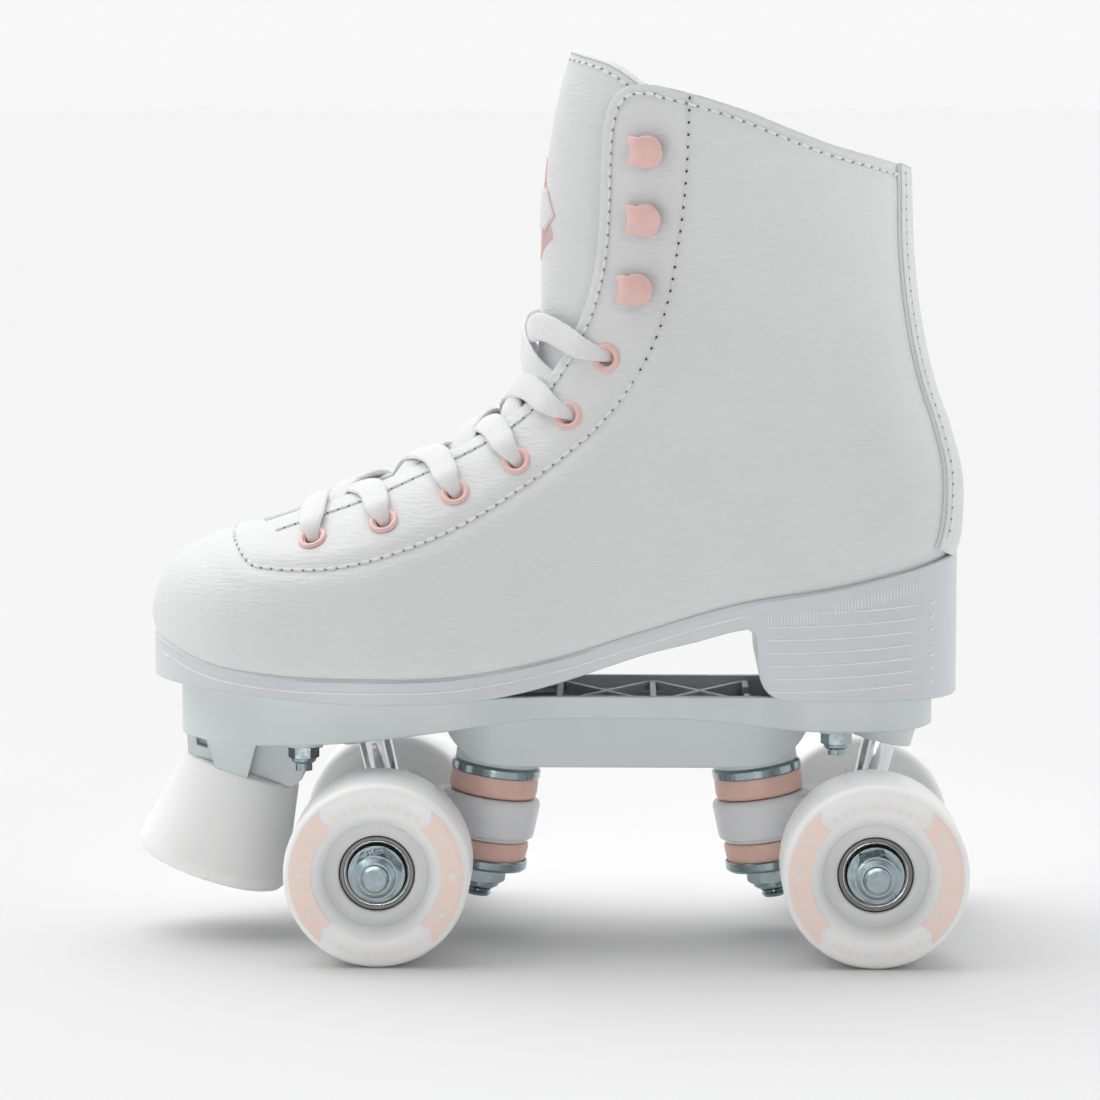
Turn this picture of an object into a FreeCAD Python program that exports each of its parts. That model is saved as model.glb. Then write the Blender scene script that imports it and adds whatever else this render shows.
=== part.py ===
import FreeCAD, Part
import math
import os

import Sketcher
from FreeCAD import Placement, Rotation, Vector

# Quad roller skate, left foot, high lace-up boot on a moulded base plate.
# Frame: +Z up, toe towards -X, wearer's left towards -Y. The origin is on the floor,
# midway between the two axles, on the centre plane of the base plate.

os.makedirs("parts", exist_ok=True)
doc = FreeCAD.newDocument("quad_roller_skate")

# ------------------------------------------------------------------ driving dimensions

DIMENSIONS = [
    ("wheelbase", 144.0),
    ("wheel_centre_y", 45.0),
    ("wheel_dia", 54.0),
    ("wheel_width", 32.0),
    ("wheel_lip_radius", 3.0),
    ("tread_width", 26.0),
    ("dish_radius", 18.0),
    ("hub_radius", 15.0),
    ("hub_wall", 1.2),
    ("bearing_bore", 8.0),
    ("bearing_dia", 22.0),
    ("bearing_width", 7.0),
    ("bearing_recess", 5.5),
    ("inner_ring_dia", 12.1),
    ("outer_ring_inner_dia", 19.2),
    ("shield_gap", 0.25),
    ("ball_dia", 3.969),
    ("ball_count", 7),
    ("axle_dia", 8.0),
    ("axle_end_y", 67.0),
    ("axle_washer_dia", 16.5),
    ("axle_washer_thickness", 1.5),
    ("axle_nut_height", 8.0),
    ("large_nut_flats", 13.0),
    ("small_nut_flats", 8.0),
    ("kingpin_x", 38.85),
    ("kingpin_z", 51.0),
    ("kingpin_tilt", 8.5),
    ("kingpin_dia", 8.0),
    ("kingpin_length", 41.0),
    ("kingpin_seat", 6.0),
    ("washer_radius", 13.4),
    ("washer_thickness", 1.6),
    ("washer_rim", 3.3),
    ("upper_cushion_radius", 12.9),
    ("lower_cushion_radius", 12.6),
    ("ring_top", 9.7),
    ("ring_height", 13.0),
    ("ring_radius", 14.7),
    ("ring_bore", 8.5),
    ("lower_washer_top", 28.4),
    ("kingpin_nut_height", 6.5),
    ("pivot_x", 76.8),
    ("pivot_z", 62.0),
    ("pivot_pin_tilt", 13.0),
    ("pivot_pin_dia", 10.0),
    ("pivot_pin_length", 30.0),
    ("pivot_clearance", 0.05),
    ("pivot_cup_radius", 7.0),
    ("plate_top", 74.15),
    ("plate_wall", 2.6),
    ("plate_arch_half_width", 24.5),
    ("plate_front_half_width", 31.0),
    ("plate_rear_half_width", 28.0),
    ("keel_half_width", 16.5),
    ("keel_bottom", 51.8),
    ("mount_bolt_dia", 5.0),
    ("front_bolt_x", -95.5),
    ("rear_bolt_x", 62.0),
    ("mount_bolt_y", 22.0),
    ("stop_x", -115.5),
    ("stop_z", 49.6),
    ("stop_tilt", 18.5),
    ("stop_top_radius", 17.8),
    ("stop_bottom_radius", 23.2),
    ("stop_height", 33.0),
    ("leather", 1.6),
    ("stay_thickness", 1.2),
    ("lining_thickness", 3.0),
    ("backstay_thickness", 1.2),
    ("tongue_thickness", 4.0),
    ("insole_thickness", 3.0),
    ("eyelet_flange_radius", 4.35),
    ("eyelet_hole_radius", 2.35),
    ("lace_width", 7.5),
    ("lace_thickness", 1.5),
]

sheet = doc.addObject("Spreadsheet::Sheet", "dims")
for row, (alias, value) in enumerate(DIMENSIONS, start=1):
    sheet.set(f"A{row}", alias)
    sheet.set(f"B{row}", str(value))
    sheet.setAlias(f"B{row}", alias)
doc.recompute()


def dim(alias):
    """Value of one driving dimension."""
    return float(getattr(sheet, alias))


NODES = {}


def keep(label, obj, placement=None):
    """Register an object as a sub-part under its node name."""
    obj.Label = label
    if placement is not None:
        obj.Placement = placement
    NODES[label] = obj
    return obj


# ------------------------------------------------------------------ small builders

def role_plane(body, role):
    """One of a body's own origin planes, found by its role."""
    return next(item for item in body.Origin.OriginFeatures if item.Role == role)


def polygon_sketch(body, name, plane, corners):
    """Closed polygon sketch whose corner coordinates are expressions of the sheet."""
    sketch = body.newObject("Sketcher::SketchObject", name)
    sketch.AttachmentSupport = [(role_plane(body, plane), "")]
    sketch.MapMode = "FlatFace"
    count = len(corners)
    start = [
        Vector(10 * math.cos(2 * math.pi * i / count), 10 * math.sin(2 * math.pi * i / count), 0)
        for i in range(count)
    ]
    for i in range(count):
        sketch.addGeometry(Part.LineSegment(start[i], start[(i + 1) % count]), False)
    for i in range(count):
        sketch.addConstraint(Sketcher.Constraint("Coincident", i, 2, (i + 1) % count, 1))
    for i, (across, along) in enumerate(corners):
        for kind, axis, expression in (("DistanceX", -2, across), ("DistanceY", -1, along)):
            if expression == "0":
                sketch.addConstraint(Sketcher.Constraint("PointOnObject", i, 1, axis))
                continue
            index = sketch.addConstraint(Sketcher.Constraint(kind, -1, 1, i, 1, 1.0))
            sketch.setExpression(f"Constraints[{index}]", expression)
    return sketch


def turned_body(name, corners):
    """PartDesign body revolved about its own Z axis from (radius, height) corners."""
    body = doc.addObject("PartDesign::Body", name)
    sketch = polygon_sketch(body, name + "_profile", "XZ_Plane", corners)
    turn = body.newObject("PartDesign::Revolution", name + "_turn")
    turn.Profile = sketch
    turn.ReferenceAxis = (sketch, ["V_Axis"])
    turn.Angle = 360
    body.Tip = turn
    return body


def feature(name, shape):
    """Plain shape feature."""
    obj = doc.addObject("Part::Feature", name)
    obj.Shape = shape
    return obj


def fused(name, *parts):
    obj = doc.addObject("Part::MultiFuse", name)
    obj.Shapes = list(parts)
    obj.Refine = True
    return obj


def common(name, base, tool):
    obj = doc.addObject("Part::Common", name)
    obj.Base = base
    obj.Tool = tool
    obj.Refine = False
    return obj


def cut(name, base, *tools):
    """Base minus each tool in turn."""
    for index, tool in enumerate(tools):
        last = index == len(tools) - 1
        obj = doc.addObject("Part::Cut", name if last else f"{name}_less_{index}")
        obj.Base = base
        obj.Tool = tool
        obj.Refine = False
        base = obj
    return base


def extruded(name, profile, direction, forward, backward=0.0):
    """Solid swept from a planar face along a direction, both ways."""
    obj = doc.addObject("Part::Extrusion", name)
    obj.Base = profile
    obj.DirMode = "Custom"
    obj.Dir = direction
    obj.LengthFwd = forward
    obj.LengthRev = backward
    obj.Solid = True
    return obj


def cylinder(name, radius, height, placement=None):
    """Cylinder whose sizes are expressions of the sheet."""
    obj = doc.addObject("Part::Cylinder", name)
    obj.setExpression("Radius", radius)
    obj.setExpression("Height", height)
    if placement is not None:
        obj.Placement = placement
    return obj


def side_point(x, z):
    """Point of the centre plane."""
    return Vector(x, 0, z)


def spline(points):
    """Open smooth curve through points."""
    curve = Part.BSplineCurve()
    curve.interpolate(points)
    return curve.toShape()


def chain_face(edges):
    """Planar face bounded by a chain of edges."""
    return Part.Face(Part.Wire(Part.__sortEdges__(edges)))


def polyline(points):
    return [Part.makeLine(a, b) for a, b in zip(points, points[1:])]


FLIP = Rotation(Vector(0, 0, 1), 180)
UP_TO_LEFT = Rotation(Vector(1, 0, 0), 90)
UP_TO_RIGHT = Rotation(Vector(1, 0, 0), -90)
TRUCKS = {"front": Rotation(), "rear": FLIP}
SIDES = {"left": -1, "right": 1}


def truck_placement(truck, local):
    """Placement in the front truck's frame carried to either truck."""
    return Placement(Vector(0, 0, 0), TRUCKS[truck]).multiply(local)


# ------------------------------------------------------------------ wheels and bearings

# A wheel's own frame: Z along the axle, z = 0 in the middle of the tread.

HALF = "dims.wheel_width / 2"
BEARING_FACE = HALF + " - dims.bearing_recess"
BEARING_BACK = BEARING_FACE + " - dims.bearing_width"


def lip_corners(sign):
    """Corners that approximate the rounded lip, from the tread to the wheel's face."""
    steps = 5
    corners = []
    for step in range(steps + 1):
        angle = 90.0 * step / steps
        radius = f"dims.wheel_dia / 2 - dims.wheel_lip_radius * (1 - cos({angle} deg))"
        height = (
            f"{sign} * (dims.tread_width / 2 + "
            f"(dims.wheel_width - dims.tread_width) / 2 * sin({angle} deg))"
        )
        corners.append((radius, height))
    return corners


def wheel_tyre(name):
    """Cast tyre: rounded lips, flat faces and a dish that leads down to the hub."""
    upper = lip_corners(1) + [
        ("dims.dish_radius", HALF),
        ("dims.dish_radius - 1.6", HALF + " - 1.2"),
        ("dims.hub_radius", HALF + " - dims.bearing_recess"),
    ]
    lower = lip_corners(-1) + [
        ("dims.dish_radius", "-" + HALF),
        ("dims.dish_radius - 1.6", "-" + HALF + " + 1.2"),
        ("dims.hub_radius", "-" + HALF + " + dims.bearing_recess"),
    ]
    return turned_body(name, upper + lower[::-1])


def wheel_hub(name):
    """Nylon core that holds the two bearings, with a shoulder between them."""
    radius = "dims.bearing_dia / 2"
    lip = radius + " - dims.hub_wall"
    return turned_body(name, [
        ("dims.hub_radius", "-(" + BEARING_FACE + ")"),
        ("dims.hub_radius", BEARING_FACE),
        (radius, BEARING_FACE),
        (radius, BEARING_BACK),
        (lip, BEARING_BACK),
        (lip, "-(" + BEARING_BACK + ")"),
        (radius, "-(" + BEARING_BACK + ")"),
        (radius, "-(" + BEARING_FACE + ")"),
    ])


def outer_ring_shape(back):
    """Bearing outer ring with its ball groove and a shield at each face."""
    width = dim("bearing_width")
    outer = dim("bearing_dia") / 2
    inner = dim("outer_ring_inner_dia") / 2
    shield_inner = dim("inner_ring_dia") / 2 + dim("shield_gap")
    shield = 0.35
    inset = 0.3
    ring = Part.makeCylinder(outer, width).cut(Part.makeCylinder(inner, width))
    chamfered = Part.makeCone(outer - 0.4, outer, 0.4)
    chamfered = chamfered.fuse(Part.makeCylinder(outer, width - 0.8, Vector(0, 0, 0.4)))
    chamfered = chamfered.fuse(Part.makeCone(outer, outer - 0.4, 0.4, Vector(0, 0, width - 0.4)))
    ring = ring.common(chamfered)
    pitch = (inner + dim("inner_ring_dia") / 2) / 2
    groove = Part.makeTorus(pitch, dim("ball_dia") / 2 + 0.03, Vector(0, 0, width / 2))
    ring = ring.cut(groove)
    for low in (inset, width - inset - shield):
        plate = Part.makeCylinder(inner, shield, Vector(0, 0, low))
        plate = plate.cut(Part.makeCylinder(shield_inner, shield, Vector(0, 0, low)))
        ring = ring.fuse(plate)
    ring.translate(Vector(0, 0, back))
    return ring


def inner_ring_shape(back):
    """Bearing inner ring with its ball groove."""
    width = dim("bearing_width")
    ring = Part.makeCylinder(dim("inner_ring_dia") / 2, width)
    ring = ring.cut(Part.makeCylinder(dim("bearing_bore") / 2, width))
    pitch = (dim("outer_ring_inner_dia") + dim("inner_ring_dia")) / 4
    ring = ring.cut(Part.makeTorus(pitch, dim("ball_dia") / 2, Vector(0, 0, width / 2)))
    ring.translate(Vector(0, 0, back))
    return ring


def ball_shapes(back):
    """Ring of bearing balls seated in the inner ring's groove."""
    pitch = (dim("outer_ring_inner_dia") + dim("inner_ring_dia")) / 4
    balls = []
    count = int(dim("ball_count"))
    for index in range(count):
        angle = 2 * math.pi * index / count
        centre = Vector(pitch * math.cos(angle), pitch * math.sin(angle),
                        back + dim("bearing_width") / 2)
        balls.append(Part.makeSphere(dim("ball_dia") / 2 - 0.005, centre))
    return balls


def wheel_placement(truck, side):
    """Wheel frame on the floor frame, its outer face away from the centre plane."""
    x = -dim("wheelbase") / 2 if truck == "front" else dim("wheelbase") / 2
    turn = UP_TO_LEFT if side == "left" else UP_TO_RIGHT
    return Placement(Vector(x, SIDES[side] * dim("wheel_centre_y"), dim("wheel_dia") / 2), turn)


bearing_face = dim("wheel_width") / 2 - dim("bearing_recess")
bearing_back = bearing_face - dim("bearing_width")
BEARING_LOWS = (bearing_back, -bearing_face)

for truck in TRUCKS:
    for side in SIDES:
        place = wheel_placement(truck, side)
        prefix = f"{truck}_{side}_"
        keep(prefix + "tyre", wheel_tyre(prefix + "tyre"), place)
        keep(prefix + "hub", wheel_hub(prefix + "hub"), place)
        rings = Part.makeCompound([outer_ring_shape(low) for low in BEARING_LOWS])
        keep(prefix + "outer_rings", feature(prefix + "outer_rings", rings), place)


# ------------------------------------------------------------------ threads, nuts, washers

def threaded_rod(name, length, thread, radius_alias, head=()):
    """Turned rod along Z from 0, its last stretch grooved as a thread."""
    radius = f"dims.{radius_alias} / 2"
    pitch = 1.25
    depth = 0.55
    corners = [("0", "0")] + list(head) if head else [("0", "0"), (radius, "0")]
    turns = int(thread / pitch)
    first = f"({length} - {turns * pitch + 1.0})"
    for turn in range(turns):
        base = f"{first} + {turn * pitch}"
        corners.append((radius, base))
        corners.append((f"{radius} - {depth}", f"{base} + {pitch / 2}"))
    corners.append((radius, f"{length} - 1.0"))
    corners.append((f"{radius} - 0.8", length))
    corners.append(("0", length))
    return turned_body(name, corners)


def lock_nut(flats, bore_radius, height):
    """Hexagon nut with chamfered corners and a nylon-insert collar, along +Z from 0."""
    corner = flats / math.sqrt(3)
    prism = Part.Face(Part.makePolygon([
        Vector(corner * math.cos(math.radians(60 * i)), corner * math.sin(math.radians(60 * i)), 0)
        for i in range(7)
    ])).extrude(Vector(0, 0, height * 0.72))
    barrel = Part.makeCone(flats / 2 * 1.0, corner, (corner - flats / 2) * 0.6)
    low = (corner - flats / 2) * 0.6
    top = height * 0.72
    barrel = barrel.fuse(Part.makeCylinder(corner, top - 2 * low, Vector(0, 0, low)))
    barrel = barrel.fuse(Part.makeCone(corner, flats / 2, low, Vector(0, 0, top - low)))
    nut = prism.common(barrel)
    collar = flats / 2 * 0.9
    nut = nut.fuse(Part.makeCylinder(collar, height * 0.16, Vector(0, 0, top)))
    nut = nut.fuse(Part.makeCone(collar, collar * 0.82, height * 0.12, Vector(0, 0, top + height * 0.16)))
    return nut.cut(Part.makeCylinder(bore_radius, height))


def cup_washer(name, bore):
    """Pressed cup washer: a disc with a turned rim, cup opening towards +Z."""
    outer = "dims.washer_radius"
    return turned_body(name, [
        (bore, "0"),
        (outer + " - 0.8", "0"),
        (outer, "0.8"),
        (outer, "dims.washer_rim - 0.4"),
        (outer + " - 0.2", "dims.washer_rim"),
        ("dims.washer_radius - dims.washer_thickness / 3", "dims.washer_rim"),
        ("dims.washer_radius - dims.washer_thickness / 3", "dims.washer_thickness"),
        (bore, "dims.washer_thickness"),
    ])


# ------------------------------------------------------------------ trucks

kingpin_frame = Placement(
    Vector(-dim("kingpin_x"), 0, dim("kingpin_z")),
    Rotation(Vector(0, 1, 0), dim("kingpin_tilt")),
)
TURN_OVER = Placement(Vector(0, 0, 0), Rotation(Vector(1, 0, 0), 180))


def on_kingpin(truck, depth, upside_down=False):
    """Frame on the kingpin's axis, a given distance below the base plate's seat."""
    local = kingpin_frame.multiply(Placement(Vector(0, 0, -depth), Rotation()))
    if upside_down:
        local = local.multiply(TURN_OVER)
    return truck_placement(truck, local)


pivot_frame = Placement(
    Vector(-dim("pivot_x"), 0, dim("pivot_z")),
    Rotation(Vector(0, 1, 0), -dim("pivot_pin_tilt")),
)


def make_kingpin(truck):
    """King bolt, head up in the base plate and thread down, frame at the head's top."""
    head = "5.3"
    flats = "dims.large_nut_flats / 2"
    radius = "dims.kingpin_dia / 2"
    length = f"{head} + dims.kingpin_seat + dims.kingpin_length"
    body = threaded_rod(
        f"{truck}_kingpin", f"({length})", 11.0, "kingpin_dia",
        [(flats + " - 0.6", "0"), (flats, "0.6"), (flats, head), (radius, head)],
    )
    depth = -(dim("kingpin_seat") + 5.3)
    keep(f"{truck}_kingpin", body, on_kingpin(truck, depth, upside_down=True))


def make_cushions(truck):
    """Upper and lower urethane cushions, each with a waist that the seats pinch."""
    gap = 0.25
    bore = "dims.kingpin_dia / 2 + 0.2"
    top = "dims.washer_thickness"
    low = "dims.ring_top"
    body = turned_body(f"{truck}_upper_cushion", [
        (bore, f"-({low}) + {gap}"),
        ("dims.upper_cushion_radius - 0.5", f"-({low}) + {gap}"),
        ("dims.upper_cushion_radius + 0.3", f"-({low}) + 2.2"),
        ("dims.upper_cushion_radius + 0.3", "-(dims.washer_rim) - 1.6"),
        ("dims.upper_cushion_radius - 0.1", "-(dims.washer_rim) - 0.1"),
        ("dims.upper_cushion_radius - 0.2", f"-({top}) - 0.05"),
        (bore, f"-({top}) - 0.05"),
    ])
    keep(f"{truck}_upper_cushion", body, on_kingpin(truck, 0.0))
    start = "(dims.ring_top + dims.ring_height)"
    end = "(dims.lower_washer_top + dims.washer_rim - dims.washer_thickness)"
    body = turned_body(f"{truck}_lower_cushion", [
        (bore, f"-{end} + 0.05"),
        ("dims.lower_cushion_radius", f"-{end} + 0.05"),
        ("dims.lower_cushion_radius", "-dims.lower_washer_top + 0.1"),
        ("dims.lower_cushion_radius + 0.4", "-dims.lower_washer_top + 1.2"),
        ("dims.lower_cushion_radius - 0.3", f"-{start} - {gap}"),
        (bore, f"-{start} - {gap}"),
    ])
    keep(f"{truck}_lower_cushion", body, on_kingpin(truck, 0.0))


def hanger_web_profile():
    """Side outline of the web that joins the axle tube, the ring and the pivot boss."""
    corners = [(-73.5, 18.6), (-66.0, 19.6), (-56.0, 27.0), (-52.5, 29.6), (-50.6, 41.6),
               (-57.0, 42.4), (-64.0, 40.4), (-68.0, 42.0), (-78.5, 40.0), (-80.2, 30.0)]
    points = [side_point(x, z) for x, z in corners]
    return feature("hanger_web_outline", Part.Face(Part.makePolygon(points + points[:1])))


hanger_outline = hanger_web_profile()


def make_hanger(truck):
    """Moulded hanger: kingpin ring, axle tube with end bosses, web and pivot boss."""
    name = f"{truck}_hanger"
    low = "dims.ring_top + dims.ring_height"
    ring = turned_body(name + "_ring", [
        ("dims.ring_bore", f"-({low})"),
        ("dims.ring_radius - 2.4", f"-({low})"),
        ("dims.ring_radius - 2.0", f"-({low}) + 0.8"),
        ("dims.ring_radius - 0.9", f"-({low}) + 1.4"),
        ("dims.ring_radius - 0.6", f"-({low}) + 2.2"),
        ("dims.ring_radius", "-dims.ring_top - 1.6"),
        ("dims.ring_radius - 0.5", "-dims.ring_top - 0.4"),
        ("dims.ring_radius - 1.3", "-dims.ring_top"),
        ("dims.ring_bore", "-dims.ring_top"),
    ])
    ring.Placement = kingpin_frame
    axle_z = dim("wheel_dia") / 2
    axle_x = -dim("wheelbase") / 2

    def across(label, radius, half):
        placement = Placement(Vector(axle_x, half, axle_z), UP_TO_LEFT)
        return cylinder(label, radius, f"{2 * half}", placement)

    tube = across(name + "_tube", "9.2", 22.0)
    bosses = across(name + "_bosses", "7.0", dim("wheel_centre_y") - bearing_face - 1.0)
    outline = extruded(name + "_web", hanger_outline, Vector(0, 1, 0), 9.0, 9.0)
    boss = doc.addObject("Part::Cone", name + "_pivot_boss")
    boss.Radius1 = 9.0
    boss.Radius2 = 7.6
    boss.Height = 16.0
    boss.Placement = pivot_frame.multiply(Placement(Vector(0, 0, -31.5), Rotation()))
    solid = fused(name + "_solid", ring, tube, bosses, outline, boss)
    ring_bore = cylinder(
        name + "_ring_bore", "dims.ring_bore", "60",
        kingpin_frame.multiply(Placement(Vector(0, 0, -45), Rotation())),
    )
    seat_bore = cylinder(
        name + "_seat", "dims.ring_radius - 1.3", "9.5",
        kingpin_frame.multiply(Placement(Vector(0, 0, -dim("ring_top")), Rotation())),
    )
    low_seat = cylinder(
        name + "_low_seat", "dims.ring_radius - 0.8", "9.5",
        kingpin_frame.multiply(
            Placement(Vector(0, 0, -dim("ring_top") - dim("ring_height") - 9.5), Rotation())),
    )
    axle_bore = across(name + "_axle_bore", "dims.axle_dia / 2", 40.0)
    pin_bore = cylinder(
        name + "_pin_bore", "dims.pivot_pin_dia / 2", "dims.pivot_pin_length",
        pivot_frame.multiply(Placement(Vector(0, 0, -dim("pivot_pin_length")), Rotation())),
    )
    hanger = cut(name, solid, ring_bore, seat_bore, low_seat, axle_bore, pin_bore)
    keep(name, hanger, truck_placement(truck, Placement()))


def make_pivot(truck):
    """Steel pivot pin with a ball end, and the cup that it turns in."""
    radius = dim("pivot_pin_dia") / 2
    length = dim("pivot_pin_length")
    cross = Placement(Vector(dim("wheelbase") / -2, -40, dim("wheel_dia") / 2),
                      Rotation(Vector(1, 0, 0), -90))
    pin = Part.makeSphere(radius)
    pin = pin.fuse(Part.makeCylinder(radius, length, Vector(0, 0, -length))).removeSplitter()
    axle = Part.makeCylinder(dim("axle_dia") / 2, 80)
    axle.Placement = pivot_frame.inverse().multiply(cross)
    pin = pin.cut(axle)
    pin = max(pin.Solids, key=lambda solid: solid.Volume)
    keep(f"{truck}_pivot_pin", feature(f"{truck}_pivot_pin", pin),
         truck_placement(truck, pivot_frame))
    seat = "(dims.pivot_pin_dia / 2 + dims.pivot_clearance)"
    corners = [("0", seat), ("0", "dims.pivot_cup_radius + 1.2"),
               ("dims.pivot_cup_radius", "dims.pivot_cup_radius + 1.2"),
               ("dims.pivot_cup_radius", "-3.0"), ("dims.pivot_cup_radius - 0.6", "-3.0"),
               (seat + " + 0.2", "-0.6")]
    steps = 8
    for step in range(steps):
        angle = 90.0 * step / steps
        corners.append((f"{seat} * cos({angle} deg) * 1.012", f"{seat} * sin({angle} deg) * 1.012"))
    cup = turned_body(f"{truck}_pivot_cup", corners)
    keep(f"{truck}_pivot_cup", cup, truck_placement(truck, pivot_frame))


def make_axle(truck):
    """Axle rod, its lock nuts and washers, and the fixed halves of the bearings."""
    x = -dim("wheelbase") / 2
    z = dim("wheel_dia") / 2
    pitch = 1.25
    radius = "dims.axle_dia / 2"
    corners = [("0", "-dims.axle_end_y"), (radius + " - 0.8", "-dims.axle_end_y"),
               (radius, "-dims.axle_end_y + 1.0")]
    turns = 7
    for turn in range(turns):
        corners.append((radius + " - 0.55", f"-dims.axle_end_y + {1.0 + (turn + 0.5) * pitch}"))
        corners.append((radius, f"-dims.axle_end_y + {1.0 + (turn + 1) * pitch}"))
    upper = [(r, "-(" + h + ")") for r, h in reversed(corners)]
    body = turned_body(f"{truck}_axle", corners + upper)
    local = Placement(Vector(x, 0, z), UP_TO_LEFT)
    keep(f"{truck}_axle", body, truck_placement(truck, local))
    face = dim("wheel_centre_y") + bearing_face
    washer = dim("axle_washer_thickness")
    nut = lock_nut(dim("large_nut_flats"), dim("axle_dia") / 2, dim("axle_nut_height"))
    inner_face = dim("wheel_centre_y") - bearing_face
    nuts, washers, rings, spacers, balls = [], [], [], [], []
    for sign in (1, -1):
        turn = Placement(Vector(0, 0, 0), Rotation() if sign > 0 else TURN_OVER.Rotation)

        def placed(shape, turn=turn):
            copy = shape.copy()
            copy.Placement = turn
            return copy

        raised = nut.copy()
        raised.rotate(Vector(0, 0, 0), Vector(0, 0, 1), 12)
        raised.translate(Vector(0, 0, face + washer))
        nuts.append(raised.transformed(turn.toMatrix()))
        disc = Part.makeCylinder(dim("axle_washer_dia") / 2, washer, Vector(0, 0, face))
        disc = disc.cut(Part.makeCylinder(dim("axle_dia") / 2, washer, Vector(0, 0, face)))
        washers.append(placed(disc))
        back = dim("wheel_centre_y")
        for low in BEARING_LOWS:
            rings.append(inner_ring_shape(back + low).transformed(turn.toMatrix()))
            for ball in ball_shapes(back + low):
                balls.append(ball.transformed(turn.toMatrix()))
        length = 2 * bearing_back
        spacer = Part.makeCylinder(5.6, length, Vector(0, 0, back - bearing_back))
        spacer = spacer.cut(Part.makeCylinder(dim("axle_dia") / 2, length,
                                              Vector(0, 0, back - bearing_back)))
        spacers.append(placed(spacer))
        thin = Part.makeCylinder(6.2, 1.0, Vector(0, 0, inner_face - 1.0))
        washers.append(placed(thin.cut(Part.makeCylinder(dim("axle_dia") / 2, 1.0,
                                                         Vector(0, 0, inner_face - 1.0)))))
    groups = {"axle_nuts": nuts, "axle_washers": washers, "inner_rings": rings,
              "bearing_spacers": spacers, "bearing_balls": balls}
    for label, shapes in groups.items():
        name = f"{truck}_{label}"
        keep(name, feature(name, Part.makeCompound(shapes)), truck_placement(truck, local))


for truck in TRUCKS:
    make_kingpin(truck)
    make_cushions(truck)
    make_hanger(truck)
    make_pivot(truck)
    make_axle(truck)
    upper = cup_washer(f"{truck}_upper_washer", "dims.kingpin_dia / 2")
    keep(f"{truck}_upper_washer", upper, on_kingpin(truck, 0.0, upside_down=True))
    lower = cup_washer(f"{truck}_lower_washer", "dims.kingpin_dia / 2")
    low = dim("lower_washer_top") + dim("washer_rim")
    keep(f"{truck}_lower_washer", lower, on_kingpin(truck, low))
    nut = lock_nut(dim("large_nut_flats"), dim("kingpin_dia") / 2, dim("kingpin_nut_height"))
    keep(f"{truck}_kingpin_nut", feature(f"{truck}_kingpin_nut", nut),
         on_kingpin(truck, low, upside_down=True))


# ------------------------------------------------------------------ base plate

def both_sides(points):
    """Plan points followed by their mirror image, back towards the start."""
    return points + [Vector(p.x, -p.y, p.z) for p in reversed(points)]


PLATE_NOSE_X = -104.0
PLATE_TAIL_X = 72.0


def plate_outline(name, inset, height):
    """Plan of the base plate: round nose and tail, straight flanks and a narrow waist."""
    front = dim("plate_front_half_width") - inset
    arch = dim("plate_arch_half_width") - inset
    rear = dim("plate_rear_half_width") - inset

    def at(x, y):
        return Vector(x, y, height)

    def shoulder(x1, y1, x2, y2):
        middle = (x1 + x2) / 2
        curve = Part.BezierCurve()
        curve.setPoles([at(x1, y1), at(middle, y1), at(middle, y2), at(x2, y2)])
        return curve.toShape()

    edges = []
    for sign in (1, -1):
        edges.append(Part.makeLine(at(PLATE_NOSE_X, sign * front), at(-54, sign * front)))
        edges.append(shoulder(-54, sign * front, -16, sign * arch))
        edges.append(Part.makeLine(at(-16, sign * arch), at(36, sign * arch)))
        edges.append(shoulder(36, sign * arch, 58, sign * rear))
        edges.append(Part.makeLine(at(58, sign * rear), at(PLATE_TAIL_X, sign * rear)))
    nose = Part.Ellipse(at(PLATE_NOSE_X, front), at(-133.6 + inset, 0), at(PLATE_NOSE_X, 0))
    edges.append(Part.ArcOfEllipse(nose, 0, math.pi).toShape())
    tail = Part.Ellipse(at(PLATE_TAIL_X, -rear), at(91.5 - inset, 0), at(PLATE_TAIL_X, 0))
    edges.append(Part.ArcOfEllipse(tail, 0, math.pi).toShape())
    return feature(name, chain_face(edges))


SKIRT_LINE = [(-136, 61.2), (-118, 60.5), (-97.5, 60.3), (-77, 61.5), (-54.6, 64.3), (-33, 67.0),
              (-19, 67.5), (7.5, 67.6), (22, 67.1), (45, 64.8), (67, 64.3), (94, 64.2)]
TOE_SPRING = [(-143.5, 77.9), (-125, 77.6), (-105, 76.0), (-89, 74.7), (-74, 74.15)]


def plate_side(name, lift, top_lift):
    """Side outline of the tray, from the skirt's lower edge up to the seat of the sole."""
    low = [side_point(x, z + lift) for x, z in SKIRT_LINE]
    spring = [side_point(x, z + top_lift) for x, z in TOE_SPRING if x > -143.5]
    spring.insert(0, side_point(SKIRT_LINE[0][0], 77.9 + top_lift))
    end = side_point(SKIRT_LINE[-1][0], dim("plate_top") + top_lift)
    edges = [spline(low), spline(spring), Part.makeLine(spring[-1], end),
             Part.makeLine(low[0], spring[0]), Part.makeLine(low[-1], end)]
    return feature(name, chain_face(edges))


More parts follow.
